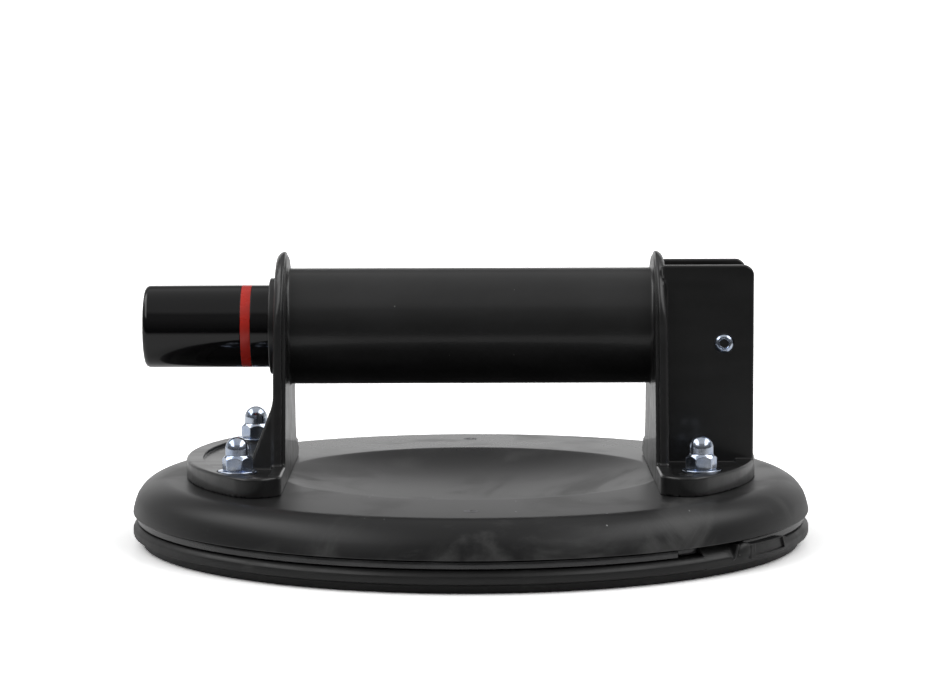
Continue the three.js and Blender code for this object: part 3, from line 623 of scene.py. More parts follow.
def moulding(distance, low, high, step):
    """Quads over the zero surface of a distance function, and the true normals at their corners."""
    low, high = np.array(low, float), np.array(high, float)
    counts = np.ceil((high - low) / step).astype(int) + 1
    ticks = [low[axis] + step * np.arange(counts[axis]) for axis in range(3)]
    values = np.empty(counts, np.float32)
    for index, x in enumerate(ticks[0]):
        values[index] = distance(np.float64(x), ticks[1][:, None], ticks[2][None, :])
    inside = values < 0
    total = np.zeros(counts - 1, np.int8)
    corners = [(i, j, k) for i in (0, 1) for j in (0, 1) for k in (0, 1)]
    for i, j, k in corners:
        total += inside[i : i + counts[0] - 1, j : j + counts[1] - 1, k : k + counts[2] - 1]
    cells = np.argwhere((total > 0) & (total < 8))
    number = np.full(counts - 1, -1, np.int64)
    number[tuple(cells.T)] = np.arange(len(cells))
    sums, hits = np.zeros((len(cells), 3)), np.zeros(len(cells))
    for a in corners:
        for axis in range(3):
            if a[axis]:
                continue
            b = tuple(1 if index == axis else a[index] for index in range(3))
            va = values[tuple((cells + a).T)].astype(float)
            vb = values[tuple((cells + b).T)].astype(float)
            crossed = (va < 0) != (vb < 0)
            share = np.where(crossed, va / np.where(crossed, va - vb, 1), 0)
            spot = np.array(a, float) + share[:, None] * (np.array(b) - np.array(a))
            sums += spot * crossed[:, None]
            hits += crossed
    points = low + step * (cells + sums / hits[:, None])
    # Newton steps bring the points onto the surface, so that edges stay sharp.
    for _ in range(3):
        slope = gradient(distance, points)
        length = np.maximum((slope**2).sum(1), 0.25)
        shift = slope * (distance(*points.T) / length)[:, None]
        points = points - np.clip(shift, -step / 2, step / 2)
    slope = gradient(distance, points)
    normals = slope / np.maximum(np.linalg.norm(slope, axis=1), 1e-9)[:, None]
    quads = []
    for axis in range(3):
        u, v = (axis + 1) % 3, (axis + 2) % 3
        start = [slice(1, None)] * 3
        start[axis] = slice(None, -1)
        end = [slice(1, None)] * 3
        end[axis] = slice(1, None)
        first, second = inside[tuple(start)], inside[tuple(end)]
        edges = np.argwhere(first != second)
        outward = first[tuple(edges.T)]
        edges[:, u] += 1
        edges[:, v] += 1
        keep = (edges[:, u] < counts[u] - 1) & (edges[:, v] < counts[v] - 1)
        edges, outward = edges[keep], outward[keep]
        ring = []
        for du, dv in ((1, 1), (0, 1), (0, 0), (1, 0)):
            cell = edges.copy()
            cell[:, u] -= du
            cell[:, v] -= dv
            ring.append(number[tuple(cell.T)])
        ring = np.column_stack(ring)
        ring[~outward] = ring[~outward][:, ::-1]
        quads.append(ring)
    return points, np.vstack(quads).tolist(), normals


# ---- Handle ----


def leg_face(y, z):
    """Distance to the arch-topped upright seen along X, without its bottom."""
    across, up = np.abs(y), z - GRIP_Z
    slanted = across * math.cos(LEG_TAPER) + up * math.sin(LEG_TAPER) - ARCH_R
    round_top = np.hypot(across, up) - ARCH_R
    return np.where(up * math.cos(LEG_TAPER) > across * math.sin(LEG_TAPER), round_top, slanted)


def slab(flat, offset, half, radius):
    """A flat outline given thickness: half on each side of offset 0, with rounded edges."""
    return soft_max(flat, np.abs(offset) - half, radius)


def foot_face(x, y, inset, flat):
    """Distance to the D-shaped foot outline seen from above. x counts outwards from the middle."""
    reach = FOOT_R - inset
    corner = np.maximum(np.where(y > 0, FOOT_REAR_CORNER_R, FOOT_CORNER_R) - inset, 1.0)
    centre_x = flat + corner
    centre_y = np.sqrt((reach - corner) ** 2 - centre_x**2)
    ahead, beside = x - centre_x, np.abs(y) - centre_y
    sides = np.maximum(np.hypot(x, y) - reach, flat - x)
    round_part = np.hypot(ahead, beside) - corner
    return np.where((beside > 0) & (beside * centre_x > ahead * centre_y), round_part, sides)


def upright(across, y, z):
    """Arch plate with a full outer layer and a thinner inner layer set back from its edge."""
    leg = leg_face(y, z)
    floor = z - FOOT_FLOOR
    rear, front = soft_min(leg, floor, LEG_FLARE_REAR), soft_min(leg, floor, LEG_FLARE_FRONT)
    outline = np.where(y > 0, rear, front)
    # The edges round off more towards the top of the arch.
    crown = smooth_step((z - GRIP_Z) / CROWN_RISE)
    outer = soft_max(outline, across - UPRIGHT_OUT, 0.8 + 2.2 * crown)
    outer = soft_max(outer, UPRIGHT_STEP - 0.3 * crown - across, 0.35 + 0.5 * crown)
    inner_outline = outline + ARCH_SETBACK - 0.8 * crown
    inner = soft_max(inner_outline, UPRIGHT_IN + 0.2 * crown - across, 0.7 + 0.9 * crown)
    inner = np.maximum(inner, across - UPRIGHT_OUT + 1)
    plate = np.minimum(outer, inner)
    return np.maximum(np.maximum(plate, FOOT_BOTTOM + 0.5 - z), np.abs(y) - LEG_REACH)


def gusset(x, y, z):
    """Ribs that brace the left upright on its foot, parallel to the leg's slanted edges."""
    slanted = np.abs(y) * math.cos(LEG_TAPER) + (z - GRIP_Z) * math.sin(LEG_TAPER) - ARCH_R
    web = np.abs(slanted + GUSSET_INSET) - GUSSET_HALF
    outwards, upwards = -x - UPRIGHT_OUT, z - FOOT_FLOOR - GUSSET_RISE
    slope = (outwards * GUSSET_RISE + upwards * GUSSET_RUN) / math.hypot(GUSSET_RISE, GUSSET_RUN)
    return np.maximum(soft_max(web, slope, 0.8), np.maximum(FOOT_BOTTOM + 1 - z, x + UPRIGHT_OUT - 1))


def cheeks(x, y, z):
    """The housing's two side plates."""
    corner = soft_max(x - HOUSING_END, z - HOUSING_TOP, CHEEK_CORNER_R)
    face = np.maximum(np.maximum(corner, UPRIGHT_OUT - 1 - x), FOOT_BOTTOM + 1 - z)
    middle = (CHEEK_IN + CHEEK_OUT) / 2
    return slab(face, np.abs(y) - middle, (CHEEK_OUT - CHEEK_IN) / 2, 0.7)


def end_wall(x, y, z):
    """The low wall between the cheeks, below the lever."""
    wall = slab(z - END_WALL_TOP, x - (HOUSING_END - END_WALL_HALF), END_WALL_HALF, 0.6)
    return np.maximum(np.maximum(wall, np.abs(y) - CHEEK_IN - 1), FOOT_BOTTOM + 1 - z)


def handle_distance(x, y, z):
    """Feet, uprights, grip tube, gussets and housing in one moulding, with its holes and seats."""
    across = np.abs(x)
    radial = np.hypot(y, z - GRIP_Z)
    foot = soft_max(foot_face(across, y, 0.0, UPRIGHT_IN), z - FOOT_TOP, 0.7)
    recess = np.maximum(foot_face(across, y, FOOT_RIM, UPRIGHT_OUT), FOOT_FLOOR - z)
    foot = np.maximum(soft_max(foot, -recess, 0.3), FOOT_BOTTOM - z)
    body = np.maximum(soft_min(upright(across, y, z), foot, 0.8), UPRIGHT_IN - across)
    tube = np.maximum(radial - GRIP_R, across - UPRIGHT_IN - 1)
    body = soft_min(body, tube, 1.0)
    body = soft_min(body, gusset(x, y, z), 0.8)
    body = soft_min(body, cheeks(x, y, z), 0.6)
    body = np.minimum(body, end_wall(x, y, z))
    bore = np.maximum(radial - BORE_R, x - BORE_END)
    body = soft_max(body, -bore, 0.35)
    head_hole = np.maximum(radial - HEAD_HOLE_R, -x)
    body = np.maximum(body, -head_hole)
    pivot = np.hypot(x - PIVOT_X, z - PIVOT_Z)
    seat = np.maximum(pivot - PIVOT_SEAT_R, np.abs(y + CHEEK_OUT) - 0.5)
    body = soft_max(body, -seat, 0.2)
    stud = np.hypot(across - np.where(x < 0, STUD_LEFT_X, STUD_RIGHT_X), np.abs(y) - STUD_Y)
    boss = np.maximum(stud - BOSS_R, np.maximum(z - WASHER_SEAT, FOOT_BOTTOM - z))
    body = soft_min(body, boss, 0.2)
    return soft_max(body, -np.maximum(stud - WASHER_SEAT_R, WASHER_SEAT - z), 0.15)


def make_handle():
    # The feet's ends are at most 57 mm from the middle.
    low = (-FOOT_R - 1, -57, FOOT_BOTTOM - 1)
    high = (FOOT_R + 1, 57, GRIP_Z + ARCH_R + 1)
    points, quads, normals = moulding(handle_distance, low, high, 0.5)
    shown("handle_moulding", points, quads, "moulded_abs", "frame", ("handle",), normals)


def lever_distance(x, y, z):
    """The release lever: a hub on the pivot, a curved thumb plate and a nose that works the valve."""
    hub = np.hypot(x - PIVOT_X, z - PIVOT_Z) - LEVER_HUB_R
    hub = slab(hub, y, LEVER_HUB_HALF, 0.5)
    # The thumb plate bows outwards and leans back at its top.
    bow = 81.2 + 1.2 * np.cos((z - 60) / 22) - (np.maximum(z - 62, 0) / 18) ** 2 * 1.6
    face = soft_max(np.abs(z - LEVER_MIDDLE_Z) - LEVER_HALF_HEIGHT, np.abs(y) - LEVER_HALF_WIDTH, 1.5)
    plate = soft_max(face, np.abs(x - bow + 1.2) - 1.3, 0.5)
    web_sides = np.maximum(np.abs(y) - 2.5, x - LEVER_BACK_X)
    web = soft_max(web_sides, np.maximum(LEVER_NOSE_X - x, np.abs(z - 64) - 6.7), 0.5)
    nose = slab(np.hypot(x - LEVER_NOSE_X, z - VALVE_Z) - 1.5, y, 2.5, 0.3)
    arm_sides = np.maximum(np.abs(y) - LEVER_HUB_HALF, x - LEVER_BACK_X)
    arm = soft_max(arm_sides, np.maximum(PIVOT_X - x, np.abs(z - 60) - 3.2), 0.5)
    body = soft_min(soft_min(hub, arm, 1.0), plate, 1.0)
    body = soft_min(body, soft_min(web, nose, 0.6), 0.8)
    return np.maximum(body, -(np.hypot(x - PIVOT_X, z - PIVOT_Z) - LEVER_HOLE_R))


def make_lever():
    """The release lever between the cheeks."""
    points, quads, normals = moulding(lever_distance, (70, -13, 47), (84, 13, 81), 0.35)
    shown("release_rocker", points, quads, "moulded_abs", "rocker", ("release_lever",), normals)


# ---- Pump ----


def make_pump():
    """The plunger with its red line, the collar it slides in, its seal and the check valve."""
    plunger = [
        (0, PLUNGER_END, 0),
        (PLUNGER_R - 0.05, PLUNGER_END, 1.6),
        (PLUNGER_R, GROOVE_LEFT, 0.15),
        (GROOVE_R, GROOVE_LEFT, 0),
        (GROOVE_R, GROOVE_RIGHT, 0),
        (PLUNGER_R, GROOVE_RIGHT, 0.15),
        (PLUNGER_R, -51.8, 0.3),
        (PLUNGER_BORE_R, -51.8, 0.3),
        (PLUNGER_BORE_R, PLUNGER_END + 4, 1),
        (0, PLUNGER_END + 4, 0),
    ]
    turned_along_x("plunger", plunger, "gloss_abs", "pump_plunger", FINE)
    gap = 0.05
    band = [
        (GROOVE_R + gap, GROOVE_LEFT + gap, 0),
        (PLUNGER_R - 0.03, GROOVE_LEFT + gap, 0.1),
        (PLUNGER_R - 0.03, GROOVE_RIGHT - gap, 0.1),
        (GROOVE_R + gap, GROOVE_RIGHT - gap, 0),
    ]
    turned_along_x("red_indicator_band", band, "red_line", "pump_plunger", FINE)
    collar = [
        (COLLAR_BORE_R, -60, 0.4),
        (COLLAR_R, -60, 0.5),
        (COLLAR_R, -57.2, 0.1),
        (COLLAR_R, -52, 0),
        (COLLAR_BORE_R, -52, 0),
    ]
    turned_along_x("pump_collar", collar, "moulded_abs", "frame", FINE)
    seal = [
        (11.1, -50.3, 0.1),
        (12.4, -50.3, 0.2),
        (13.1, -48, 0.1),
        (12.7, -48, 0.1),
        (12.0, -49.3, 0.2),
        (11.1, -49.3, 0.1),
    ]
    turned_along_x("piston_seal", seal, "seal_rubber", "pump_plunger")
    valve = [
        (0, 45.4, 0),
        (4.6, 45.8, 0.5),
        (4.8, 46.4, 0.1),
        (1.0, 46.4, 0.2),
        (1.0, 50.1, 0.2),
        (0, 50.9, 0),
    ]
    turned_along_x("check_valve", valve, "seal_rubber", "frame", COARSE)


def make_o_ring(node, radius, wire, middle, height, body):
    """A ring of round section about an X axis at the given height."""
    turns = np.linspace(0, 2 * math.pi, 17)[:-1]
    profile = [(radius + wire * math.cos(t), middle + wire * math.sin(t)) for t in turns]
    vertices, faces = lathe(profile, COARSE, True)
    shown(f"{node}_turned", along_x(vertices, height), faces, "seal_rubber", body, (node,))


def make_spring(node, mean, wire, start, end, turns, height):
    """A coil wound about an X axis."""
    per_turn, sides = 40, 10
    steps = turns * per_turn + 1
    share = np.linspace(0, 1, steps)
    angle = share * turns * 2 * math.pi
    # Three quarters of a turn lie flat at each end.
    climb = np.clip(share * turns - 0.75, 0, turns - 1.5) / (turns - 1.5)
    along = start + wire + climb * (end - start - 2 * wire)
    centre = np.column_stack([along, -mean * np.sin(angle), height - mean * np.cos(angle)])
    outward = centre - np.column_stack([along, np.zeros(steps), np.full(steps, height)])
    outward /= mean
    turn = 2 * math.pi * np.arange(sides) / sides
    ring = np.cos(turn)[None, :, None] * outward[:, None, :]
    ring = ring + np.sin(turn)[None, :, None] * np.array([1.0, 0, 0])
    vertices = (centre[:, None, :] + wire * ring).reshape(-1, 3)
    faces = []
    for index in range(steps - 1):
        a, b = index * sides, (index + 1) * sides
        for step in range(sides):
            after = (step + 1) % sides
            faces.append((a + step, a + after, b + after, b + step))
    faces.append(tuple(range(sides)))
    faces.append(tuple(range(len(vertices) - sides, len(vertices))))
    spring = shown(f"{node}_coil", vertices, faces, "spring_steel", "frame", (node,), sharp=80)
    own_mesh(spring)


def make_hose():
    """The hose from the cylinder head down to the pad fitting, in the plane of the grip."""
    # Places along its middle, as (x, z).
    path = [(62, 55.6), (62, 52), (62, 48), (62.6, 45.5), (64.6, 43.3)]
    path += [(67.4, 41.3), (69.4, 39.1), (70, 36.6), (70, 33), (70, 29.6)]
    curve = np.array(path)
    fine = np.linspace(0, len(curve) - 1, 90)
    smooth = np.column_stack([np.interp(fine, range(len(curve)), curve[:, axis]) for axis in (0, 1)])
    for _ in range(14):
        smooth[1:-1] = (smooth[:-2] + 2 * smooth[1:-1] + smooth[2:]) / 4
    points = np.column_stack([smooth[:, 0], np.zeros(len(smooth)), smooth[:, 1]])
    radius = np.full(len(points), HOSE_R)
    radius[[0, -1]] = HOSE_R - 0.35
    vertices, faces = tube_along(points, radius)
    shown("vacuum_hose_run", vertices, faces, "seal_rubber", "frame", ("vacuum_hose",))


# ---- Base ----


# (radius, height) up the cover's convex rim, from its lower edge to the flat deck.
COVER_RIM = [
    (101.3, 9.35),
    (101.4, 9.6),
    (101.3, 10.4),
    (101.0, 11.6),
    (100.6, 13.0),
    (100.0, 14.5),
    (99.0, 16.0),
    (98.0, 17.1),
    (97.0, 17.9),
    (96.0, 18.5),
    (95.0, 18.97),
    (94.0, 19.32),
    (93.0, 19.57),
    (92.0, 19.69),
    (91.4, 19.7),
]


def make_cover():
    """The cover plate, turned: flat under, then rim, deck and a shallow dish in the middle."""
    under = [(0, 9.6), (88, 9.6), (95, 9.45), (101.1, COVER_BOTTOM)]
    deck = [(radius, DECK_Z) for radius in (90.8, 80, 70, 62, 58.4, 57.6)]
    edge = 0.06
    shares = np.linspace(0.995, 0, 40)
    dish = [(DISH_R * s, DECK_Z - edge - (DISH_DEPTH - edge) * (1 - s * s)) for s in shares]
    vertices, faces = lathe([*under, *COVER_RIM, *deck, *dish], BASE_STEPS)
    shown("cover_plate_turned", vertices, faces, "cover_plate", "frame", ("base_plate",), sharp=20)


def make_backing_plate():
    """The stiff disc, its edge cut back beside the tab."""
    # Steps of 1.5 degrees, and finer ones across the cut-back part.
    angles = np.radians(np.concatenate([np.arange(-40, 304, 1.5), np.arange(304.2, 320.1, 0.2)]))
    degrees = (np.degrees(angles) + 180) % 360 - 180
    left = np.clip((degrees - RECESS_START) / 0.9, 0, 1)
    right = np.clip((RECESS_END - degrees) / 0.6, 0, 1)
    radii = PLATE_R - (PLATE_R - RECESS_R) * np.minimum(left, right)
    # (inset, height) up the plate's rounded edge.
    rings = [
        (0.35, PLATE_BOTTOM),
        (0.08, PLATE_BOTTOM + 0.1),
        (0, PLATE_BOTTOM + 0.35),
        (0, PLATE_TOP - 0.35),
        (0.08, PLATE_TOP - 0.1),
        (0.35, PLATE_TOP),
    ]
    vertices, faces = [(0, 0, PLATE_BOTTOM), (0, 0, PLATE_TOP)], []
    count = len(angles)
    for inset, height in rings:
        for angle, radius in zip(angles, radii - inset):
            vertices.append((radius * math.cos(angle), radius * math.sin(angle), height))
    for step in range(count):
        after = (step + 1) % count
        faces.append((0, 2 + after, 2 + step))
        last = 2 + (len(rings) - 1) * count
        faces.append((1, last + step, last + after))
        for ring in range(len(rings) - 1):
            low, high = 2 + ring * count, 2 + (ring + 1) * count
            faces.append((low + step, low + after, high + after, high + step))
    shown("backing_plate_disc", vertices, faces, "backing_plate", "frame", ("backing_plate",))


# Millimetres along the lip for one degree about Z.
ALONG = math.radians(LIP_R)

# (radius, height) up the pad's outer edge: sealing lip, undercut and upper lip.
LIP_PROFILE = [
    (97.9, 0.0),
    (98.55, 0.12),
    (98.8, 0.6),
    (99.2, 2.1),
    (99.45, 2.4),
    (100.8, 2.75),
    (101.25, 3.0),
    (101.4, 3.4),
    (101.4, 4.9),
    (101.3, 5.2),
    (100.3, 6.3),
    (99.9, 6.5),
]


def make_pad():
    """The rubber pad, turned, with a shallow cavity under it inside the flat sealing ring."""
    cavity = [(0, 2.2), (80, 2.2), (84, 2.1), (87.0, 0.9), (88.5, 0.25), (90, 0)]
    vertices, faces = lathe([*cavity, *LIP_PROFILE, (98, LIP_TOP), (0, LIP_TOP)], BASE_STEPS)
    shown("suction_pad_turned", vertices, faces, "pad_rubber", "frame", ("suction_pad",), sharp=40)


def lip_distance(radius, height):
    """Rough distance to the pad's upper lip, a shade proud of it."""
    slope = ((radius - LIP_R) * 1.1 + (height - 5.15)) / math.hypot(1.1, 1)
    edge = soft_max(radius - LIP_R - 0.02, slope, 0.3)
    underside = 2.78 - height + (100.8 - radius) * 0.25
    return np.maximum(soft_max(edge, underside, 0.4), 97.5 - radius)


def tab_distance(along, radius, height):
    """The pull tab, in millimetres along the rim, from the axis, and up."""
    start, end = TAB_START * ALONG, TAB_END * ALONG
    lip = lip_distance(radius, height)
    knuckle_end = start + 8.3
    # A flat tongue with a slanted end and a sunk face.
    slanted_end = along + (height - 5.9) * 0.55 - end
    tongue = soft_max(knuckle_end - 2 - along, slanted_end, 0.4)
    tongue = soft_max(tongue, radius - 102.25, 0.4)
    tongue = soft_max(tongue, np.abs(height - 5.8) - 2.1, 0.4)
    tongue = np.maximum(tongue, 100.25 - radius)
    facet = soft_max(knuckle_end + 0.4 - along, slanted_end + 0.8, 0.4)
    facet = np.maximum(facet, np.abs(height - 6.1) - 1.5)
    tongue = soft_max(tongue, -np.maximum(facet, 101.6 - radius), 0.15)
    # A rounded knuckle where the tongue leaves the lip, with a small ridge before it.
    beside = (along - start - 4.6) / 3.6
    knuckle = np.sqrt(beside**2 + ((height - 6.1) / 2.5) ** 2 + ((radius - 100.6) / 1.75) ** 2)
    knuckle = (knuckle - 1) * 1.9
    leaning = np.abs(along - start + (6 - height) * 0.5) - 0.5
    ridge = soft_max(leaning, np.abs(height - 6.5) - 2.0, 0.4)
    ridge = soft_max(ridge, np.abs(radius - 100.2) - 1.7, 0.4)
    body = soft_min(lip, tongue, 0.4)
    body = soft_min(body, knuckle, 0.5)
    body = soft_min(body, ridge, 0.6)
    window = np.maximum(start - 12 - along, along - end - 6)
    return np.maximum(np.maximum(body, window), 98.0 - radius)


def make_tab():
    """The pull tab, shaped along a straight edge and then bent round the rim."""
    low = (TAB_START * ALONG - 13, 97.0, 1.5)
    high = (TAB_END * ALONG + 7, 103.2, 9.2)
    points, quads, normals = moulding(tab_distance, low, high, 0.25)
    turn = points[:, 0] / LIP_R
    bent = np.column_stack([points[:, 1] * np.cos(turn), points[:, 1] * np.sin(turn), points[:, 2]])
    facing = np.column_stack(
        [
            normals[:, 1] * np.cos(turn) - normals[:, 0] * np.sin(turn),
            normals[:, 1] * np.sin(turn) + normals[:, 0] * np.cos(turn),
            normals[:, 2],
        ]
    )
    flipped = [quad[::-1] for quad in quads]
    shown("pad_pull_tab", bent, flipped, "pad_rubber", "frame", (), facing)


# ---- Fasteners ----


def hexagon(x, y, flats):
    """Distance to a hexagon's outline, from its size across flats."""
    half = flats / 2
    slanted = np.abs(x) * 0.5 + np.abs(y) * math.sin(math.pi / 3)
    return np.maximum(slanted, np.abs(x)) - half


def cap_nut_distance(x, y, z):
    """Hexagon with coned ends and a dome on a short cylinder. z counts from the washer."""
    radial = np.hypot(x, y)
    hexa = np.maximum(hexagon(x, y, NUT_FLATS), np.maximum(-z, z - NUT_HEX_TOP))
    hexa = soft_max(hexa, radial - NUT_CORNER_R, 0.08)
    top_cone = (radial - NUT_DOME_R) * 0.74 + (z - NUT_HEX_TOP) * 0.67
    low_cone = (radial - 4.1) * 0.5 - z * 0.866
    hexa = soft_max(np.maximum(hexa, low_cone), top_cone, 0.05)
    dome = np.hypot(radial, np.maximum(z - NUT_DOME_Z, 0)) - NUT_DOME_R
    return soft_min(hexa, np.maximum(dome, 1 - z), 0.15)


# (radius, height, fillet) round the washer's section.
WASHER = [
    (2.7, WASHER_SEAT + 0.02, 0.1),
    (5.7, WASHER_SEAT + 0.02, 0.2),
    (5.7, NUT_SEAT - 0.04, 0.25),
    (2.7, NUT_SEAT - 0.04, 0.1),
]


def make_nuts():
    """Four cap nuts and washers. Each nut is turned, in degrees, as it was tightened."""
    step = 0.14
    points, quads, normals = moulding(cap_nut_distance, (-5, -5, -0.5), (5, 5, 10.6), step)
    places = [(x, y) for x in (-STUD_LEFT_X, STUD_RIGHT_X) for y in (-STUD_Y, STUD_Y)]
    turns = [20, 40, 36, 12]
    for index, ((x, y), turn) in enumerate(zip(places, turns), 1):
        c, s = math.cos(math.radians(turn)), math.sin(math.radians(turn))
        spin = np.array([[c, s, 0], [-s, c, 0], [0, 0, 1]])
        moved = points @ spin + np.array([x, y, NUT_SEAT])
        node = f"cap_nut_{index}"
        shown(f"{node}_domed", moved, quads, "zinc_plate", "frame", (node,), normals @ spin)
        turned_up(f"washer_{index}", WASHER, "zinc_plate", COARSE, (x, y))


def deck_screw_distance(x, y, z):
    """Countersunk cross-slot screw along Z, its head's face at 0."""
    radial = np.hypot(x, y)
    beyond = radial - DECK_SCREW_HEAD_R
    head = soft_max(np.maximum(beyond, z), beyond * 0.75 - (z + 0.35) * 0.66, 0.05)
    shank = np.maximum(radial - 1.2, -3 - z)
    body = np.minimum(head, np.maximum(shank, z + 0.5))
    half, reach = 0.28, 1.35
    slots = np.minimum(
        np.maximum(np.abs(x) - half, np.abs(y) - reach),
        np.maximum(np.abs(y) - half, np.abs(x) - reach),
    )
    return soft_max(body, -np.maximum(slots, -0.9 - z), 0.06)


def make_deck_screws():
    """Two small screws of duller zinc, sunk in the deck."""
    points, quads, normals = moulding(deck_screw_distance, (-2.6, -2.6, -3.3), (2.6, 2.6, 0.4), 0.1)
    for node, side in (("base_screw_front", -1), ("base_screw_rear", 1)):
        moved = points + np.array([0, side * DECK_SCREW_R, DECK_Z + 0.05])
        screw = shown(f"{node}_head", moved, quads, "zinc_plate", "frame", (node,), normals)
        screw.data.materials[0] = LOOKS["dull_zinc"]


def pivot_screw_distance(x, y, z):
    """Countersunk socket screw along Z, its head's face at 0 and its tip pointing down."""
    radial = np.hypot(x, y)
    head = soft_max(radial - PIVOT_HEAD_R, z - 0.3, 0.1)
    head = soft_max(head, (radial - 2.0) * 0.55 + (z - 0.3) * 0.83, 0.1)
    head = np.maximum(head, (radial - PIVOT_HEAD_R) * 0.7 - (z + 0.4) * 0.7)
    shank = np.maximum(radial - 1.5, np.maximum(z + 0.2, -32 - z))
    body = np.minimum(head, shank)
    socket = np.maximum(hexagon(x, y, 2.5), -1.4 - z)
    dish = np.maximum(radial - 1.75 + z * 0.6, -0.35 - z)
    return soft_max(soft_max(body, -socket, 0.05), -dish, 0.08)


def make_pivot():
    """The lever's pivot screw, laid along Y with its head at the front."""
    points, quads, normals = moulding(pivot_screw_distance, (-3, -3, -32.4), (3, 3, 0.5), 0.12)
    laid = np.column_stack([points[:, 0] + PIVOT_X, -points[:, 2] - CHEEK_OUT, points[:, 1] + PIVOT_Z])
    facing = np.column_stack([normals[:, 0], -normals[:, 2], normals[:, 1]])
    shown("lever_pivot_screw_socket", laid, quads, "zinc_plate", "frame", ("lever_pivot_screw",), facing)


# ---- Hidden metal and plastic, kept from the CAD ----


def finish_cad_nodes():
    """Gives every CAD node that no piece stands for its finish and small bevels."""
    stood_for = set()
    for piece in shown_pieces():
        stood_for.update(piece.get("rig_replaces", []))
    slots = {row["node"]: row["material_slot"] for row in frame["record"]["subparts"]}
    for node, piece in frame["nodes"].items():
        if node in stood_for:
            continue
        piece.data.materials.clear()
        piece.data.materials.append(LOOKS[slots[node]])
        edge = piece.modifiers.new("edge", "BEVEL")
        edge.width = 0.15 * MM
        edge.segments = 2
        edge.limit_method = "ANGLE"


# ---- Room, light and camera ----


def make_floor():
    """A white sheet. It looks plain white to the camera; for reflections its colour carries painted
    shade that darkens it towards the front.
    """
    n = Nodes("floor_white")
    sheet = bpy.data.meshes.new("floor")
    reach = 4.0
    corners = [(-reach, -reach, 0), (reach, -reach, 0), (reach, reach, 0), (-reach, reach, 0)]
    sheet.from_pydata(corners, [], [(0, 1, 2, 3)])
    floor = bpy.data.objects.new("floor", sheet)
    bpy.context.scene.collection.objects.link(floor)
    sheet.materials.append(n.material)
    # Painted shade: for reflection rays the floor's colour fades almost to black in front of the cup.
    near = n.ramp(n.coordinates(n.place)[1], -0.30, -0.16, 0.03, 1.0)
    seen = n.add("ShaderNodeLightPath").outputs["Is Camera Ray"]
    uneven = n.ramp(n.noise(3, 2), 0.3, 0.7, 0.98, 1.0)
    shade = n.math("MULTIPLY", near, FLOOR_BOUNCE)
    tone = n.math("ADD", n.math("MULTIPLY", seen, n.math("SUBTRACT", FLOOR_WHITE, shade)), shade)
    diffuse = n.add("ShaderNodeBsdfDiffuse")
    whiten = n.add("ShaderNodeCombineColor")
    for socket in whiten.inputs[:3]:
        n.link(n.math("MULTIPLY", tone, uneven), socket)
    n.link(whiten.outputs[0], diffuse.inputs["Color"])
    gloss = n.add("ShaderNodeBsdfGlossy")
    gloss.inputs["Roughness"].default_value = 0.22
    both = n.add("ShaderNodeMixShader")
    both.inputs[0].default_value = FLOOR_GLOSS
    n.link(diffuse.outputs[0], both.inputs[1])
    n.link(gloss.outputs[0], both.inputs[2])
    n.link(both.outputs[0], n.output.inputs["Surface"])


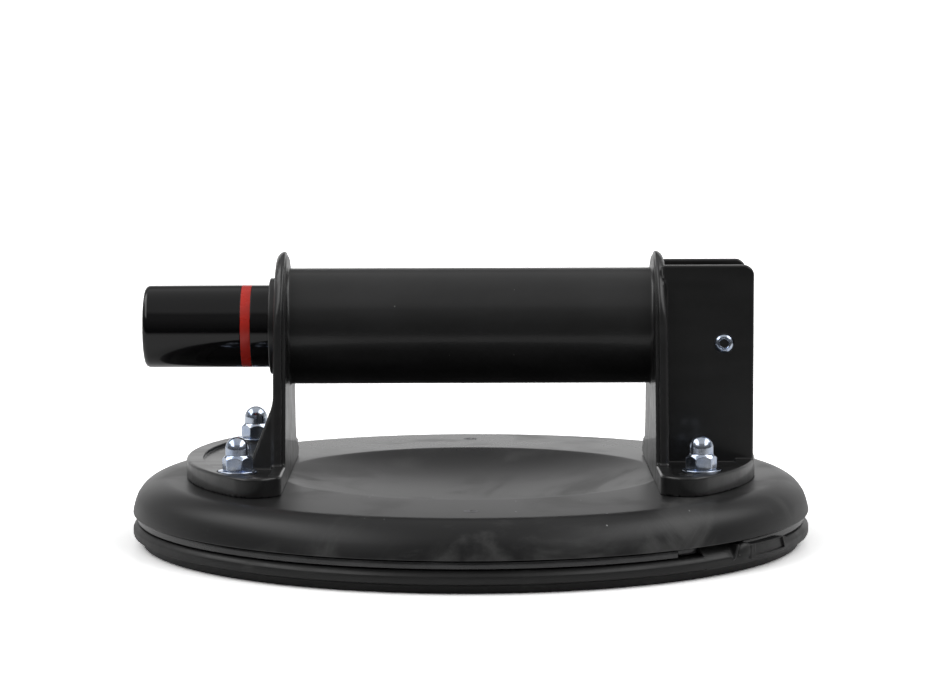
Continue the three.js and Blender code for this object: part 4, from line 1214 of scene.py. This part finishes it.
def make_world():
    """White behind, softboxes to the left and right, a dim ceiling and a dark camera side.

    x, y and z are the parts of the direction looked in, so each light is a patch of the sky.
    """
    world = bpy.data.worlds.new("studio")
    bpy.context.scene.world = world
    world.use_nodes = True
    n = Tree(world.node_tree)
    x, y, z = n.coordinates(n.add("ShaderNodeTexCoord").outputs["Generated"])
    sideways = n.math("ABSOLUTE", x)
    behind = n.ramp(y, 0.0, 0.3)
    backdrop = n.math("MULTIPLY", behind, n.ramp(z, 0.26, 0.40, 1.0, 0.0))
    backdrop = n.math("MULTIPLY", backdrop, n.ramp(sideways, 0.25, 0.55, 1.0, 0.4))
    inner = n.ramp(sideways, 0.38, 0.54)
    outer = n.ramp(sideways, 0.74, 0.86, 1.0, 0.0)
    softboxes = n.math("MULTIPLY", n.math("MULTIPLY", inner, outer), n.ramp(z, 0.38, 0.50))
    softboxes = n.math("MULTIPLY", softboxes, n.ramp(y, 0.40, 0.60, 1.0, 0.0))
    ceiling = n.math("ADD", n.ramp(z, 0.0, 0.5, 0.06, 0.16), n.ramp(z, 0.58, 0.74, 0.0, 0.28))
    level = n.math("MAXIMUM", ceiling, backdrop)
    level = n.math("ADD", level, n.math("MULTIPLY", softboxes, SOFTBOX))
    seen = n.add("ShaderNodeLightPath").outputs["Is Camera Ray"]
    grey = n.add("ShaderNodeCombineColor")
    for socket in grey.inputs[:3]:
        n.link(level, socket)
    back = n.add("ShaderNodeBackground")
    n.link(n.mix(seen, grey.outputs[0], (BACKGROUND,) * 3), back.inputs["Color"])
    n.link(back.outputs[0], n.add("ShaderNodeOutputWorld").inputs["Surface"])


def make_camera():
    """A long lens in front of the cup, a little above the grip and tilted down."""
    lens = bpy.data.cameras.new("camera")
    camera = bpy.data.objects.new("camera", lens)
    bpy.context.scene.collection.objects.link(camera)
    lens.lens = CAMERA_LENS
    lens.clip_start = 0.05
    lens.clip_end = 20
    camera.location = CAMERA_PLACE
    camera.rotation_euler = (math.pi / 2 - CAMERA_DIP, CAMERA_ROLL, 0.0)
    bpy.context.scene.camera = camera


make_handle()
make_lever()
make_pump()
make_o_ring("head_o_ring", radius=12.3, wire=0.79, middle=49.5, height=GRIP_Z, body="frame")
make_o_ring("valve_o_ring", radius=1.65, wire=0.54, middle=61.3, height=VALVE_Z, body="release_valve")
make_spring(
    "plunger_spring",
    mean=10.6,
    wire=0.7,
    start=-46.35,
    end=46.35,
    turns=9,
    height=GRIP_Z,
)
make_spring(
    "valve_spring",
    mean=2.1,
    wire=0.3,
    start=64.1,
    end=69.7,
    turns=4,
    height=VALVE_Z,
)
make_hose()
make_cover()
make_backing_plate()
make_pad()
make_tab()
make_nuts()
make_deck_screws()
make_pivot()
finish_cad_nodes()
make_floor()
make_world()
make_camera()
bpy.context.scene.view_settings.view_transform = "Standard"
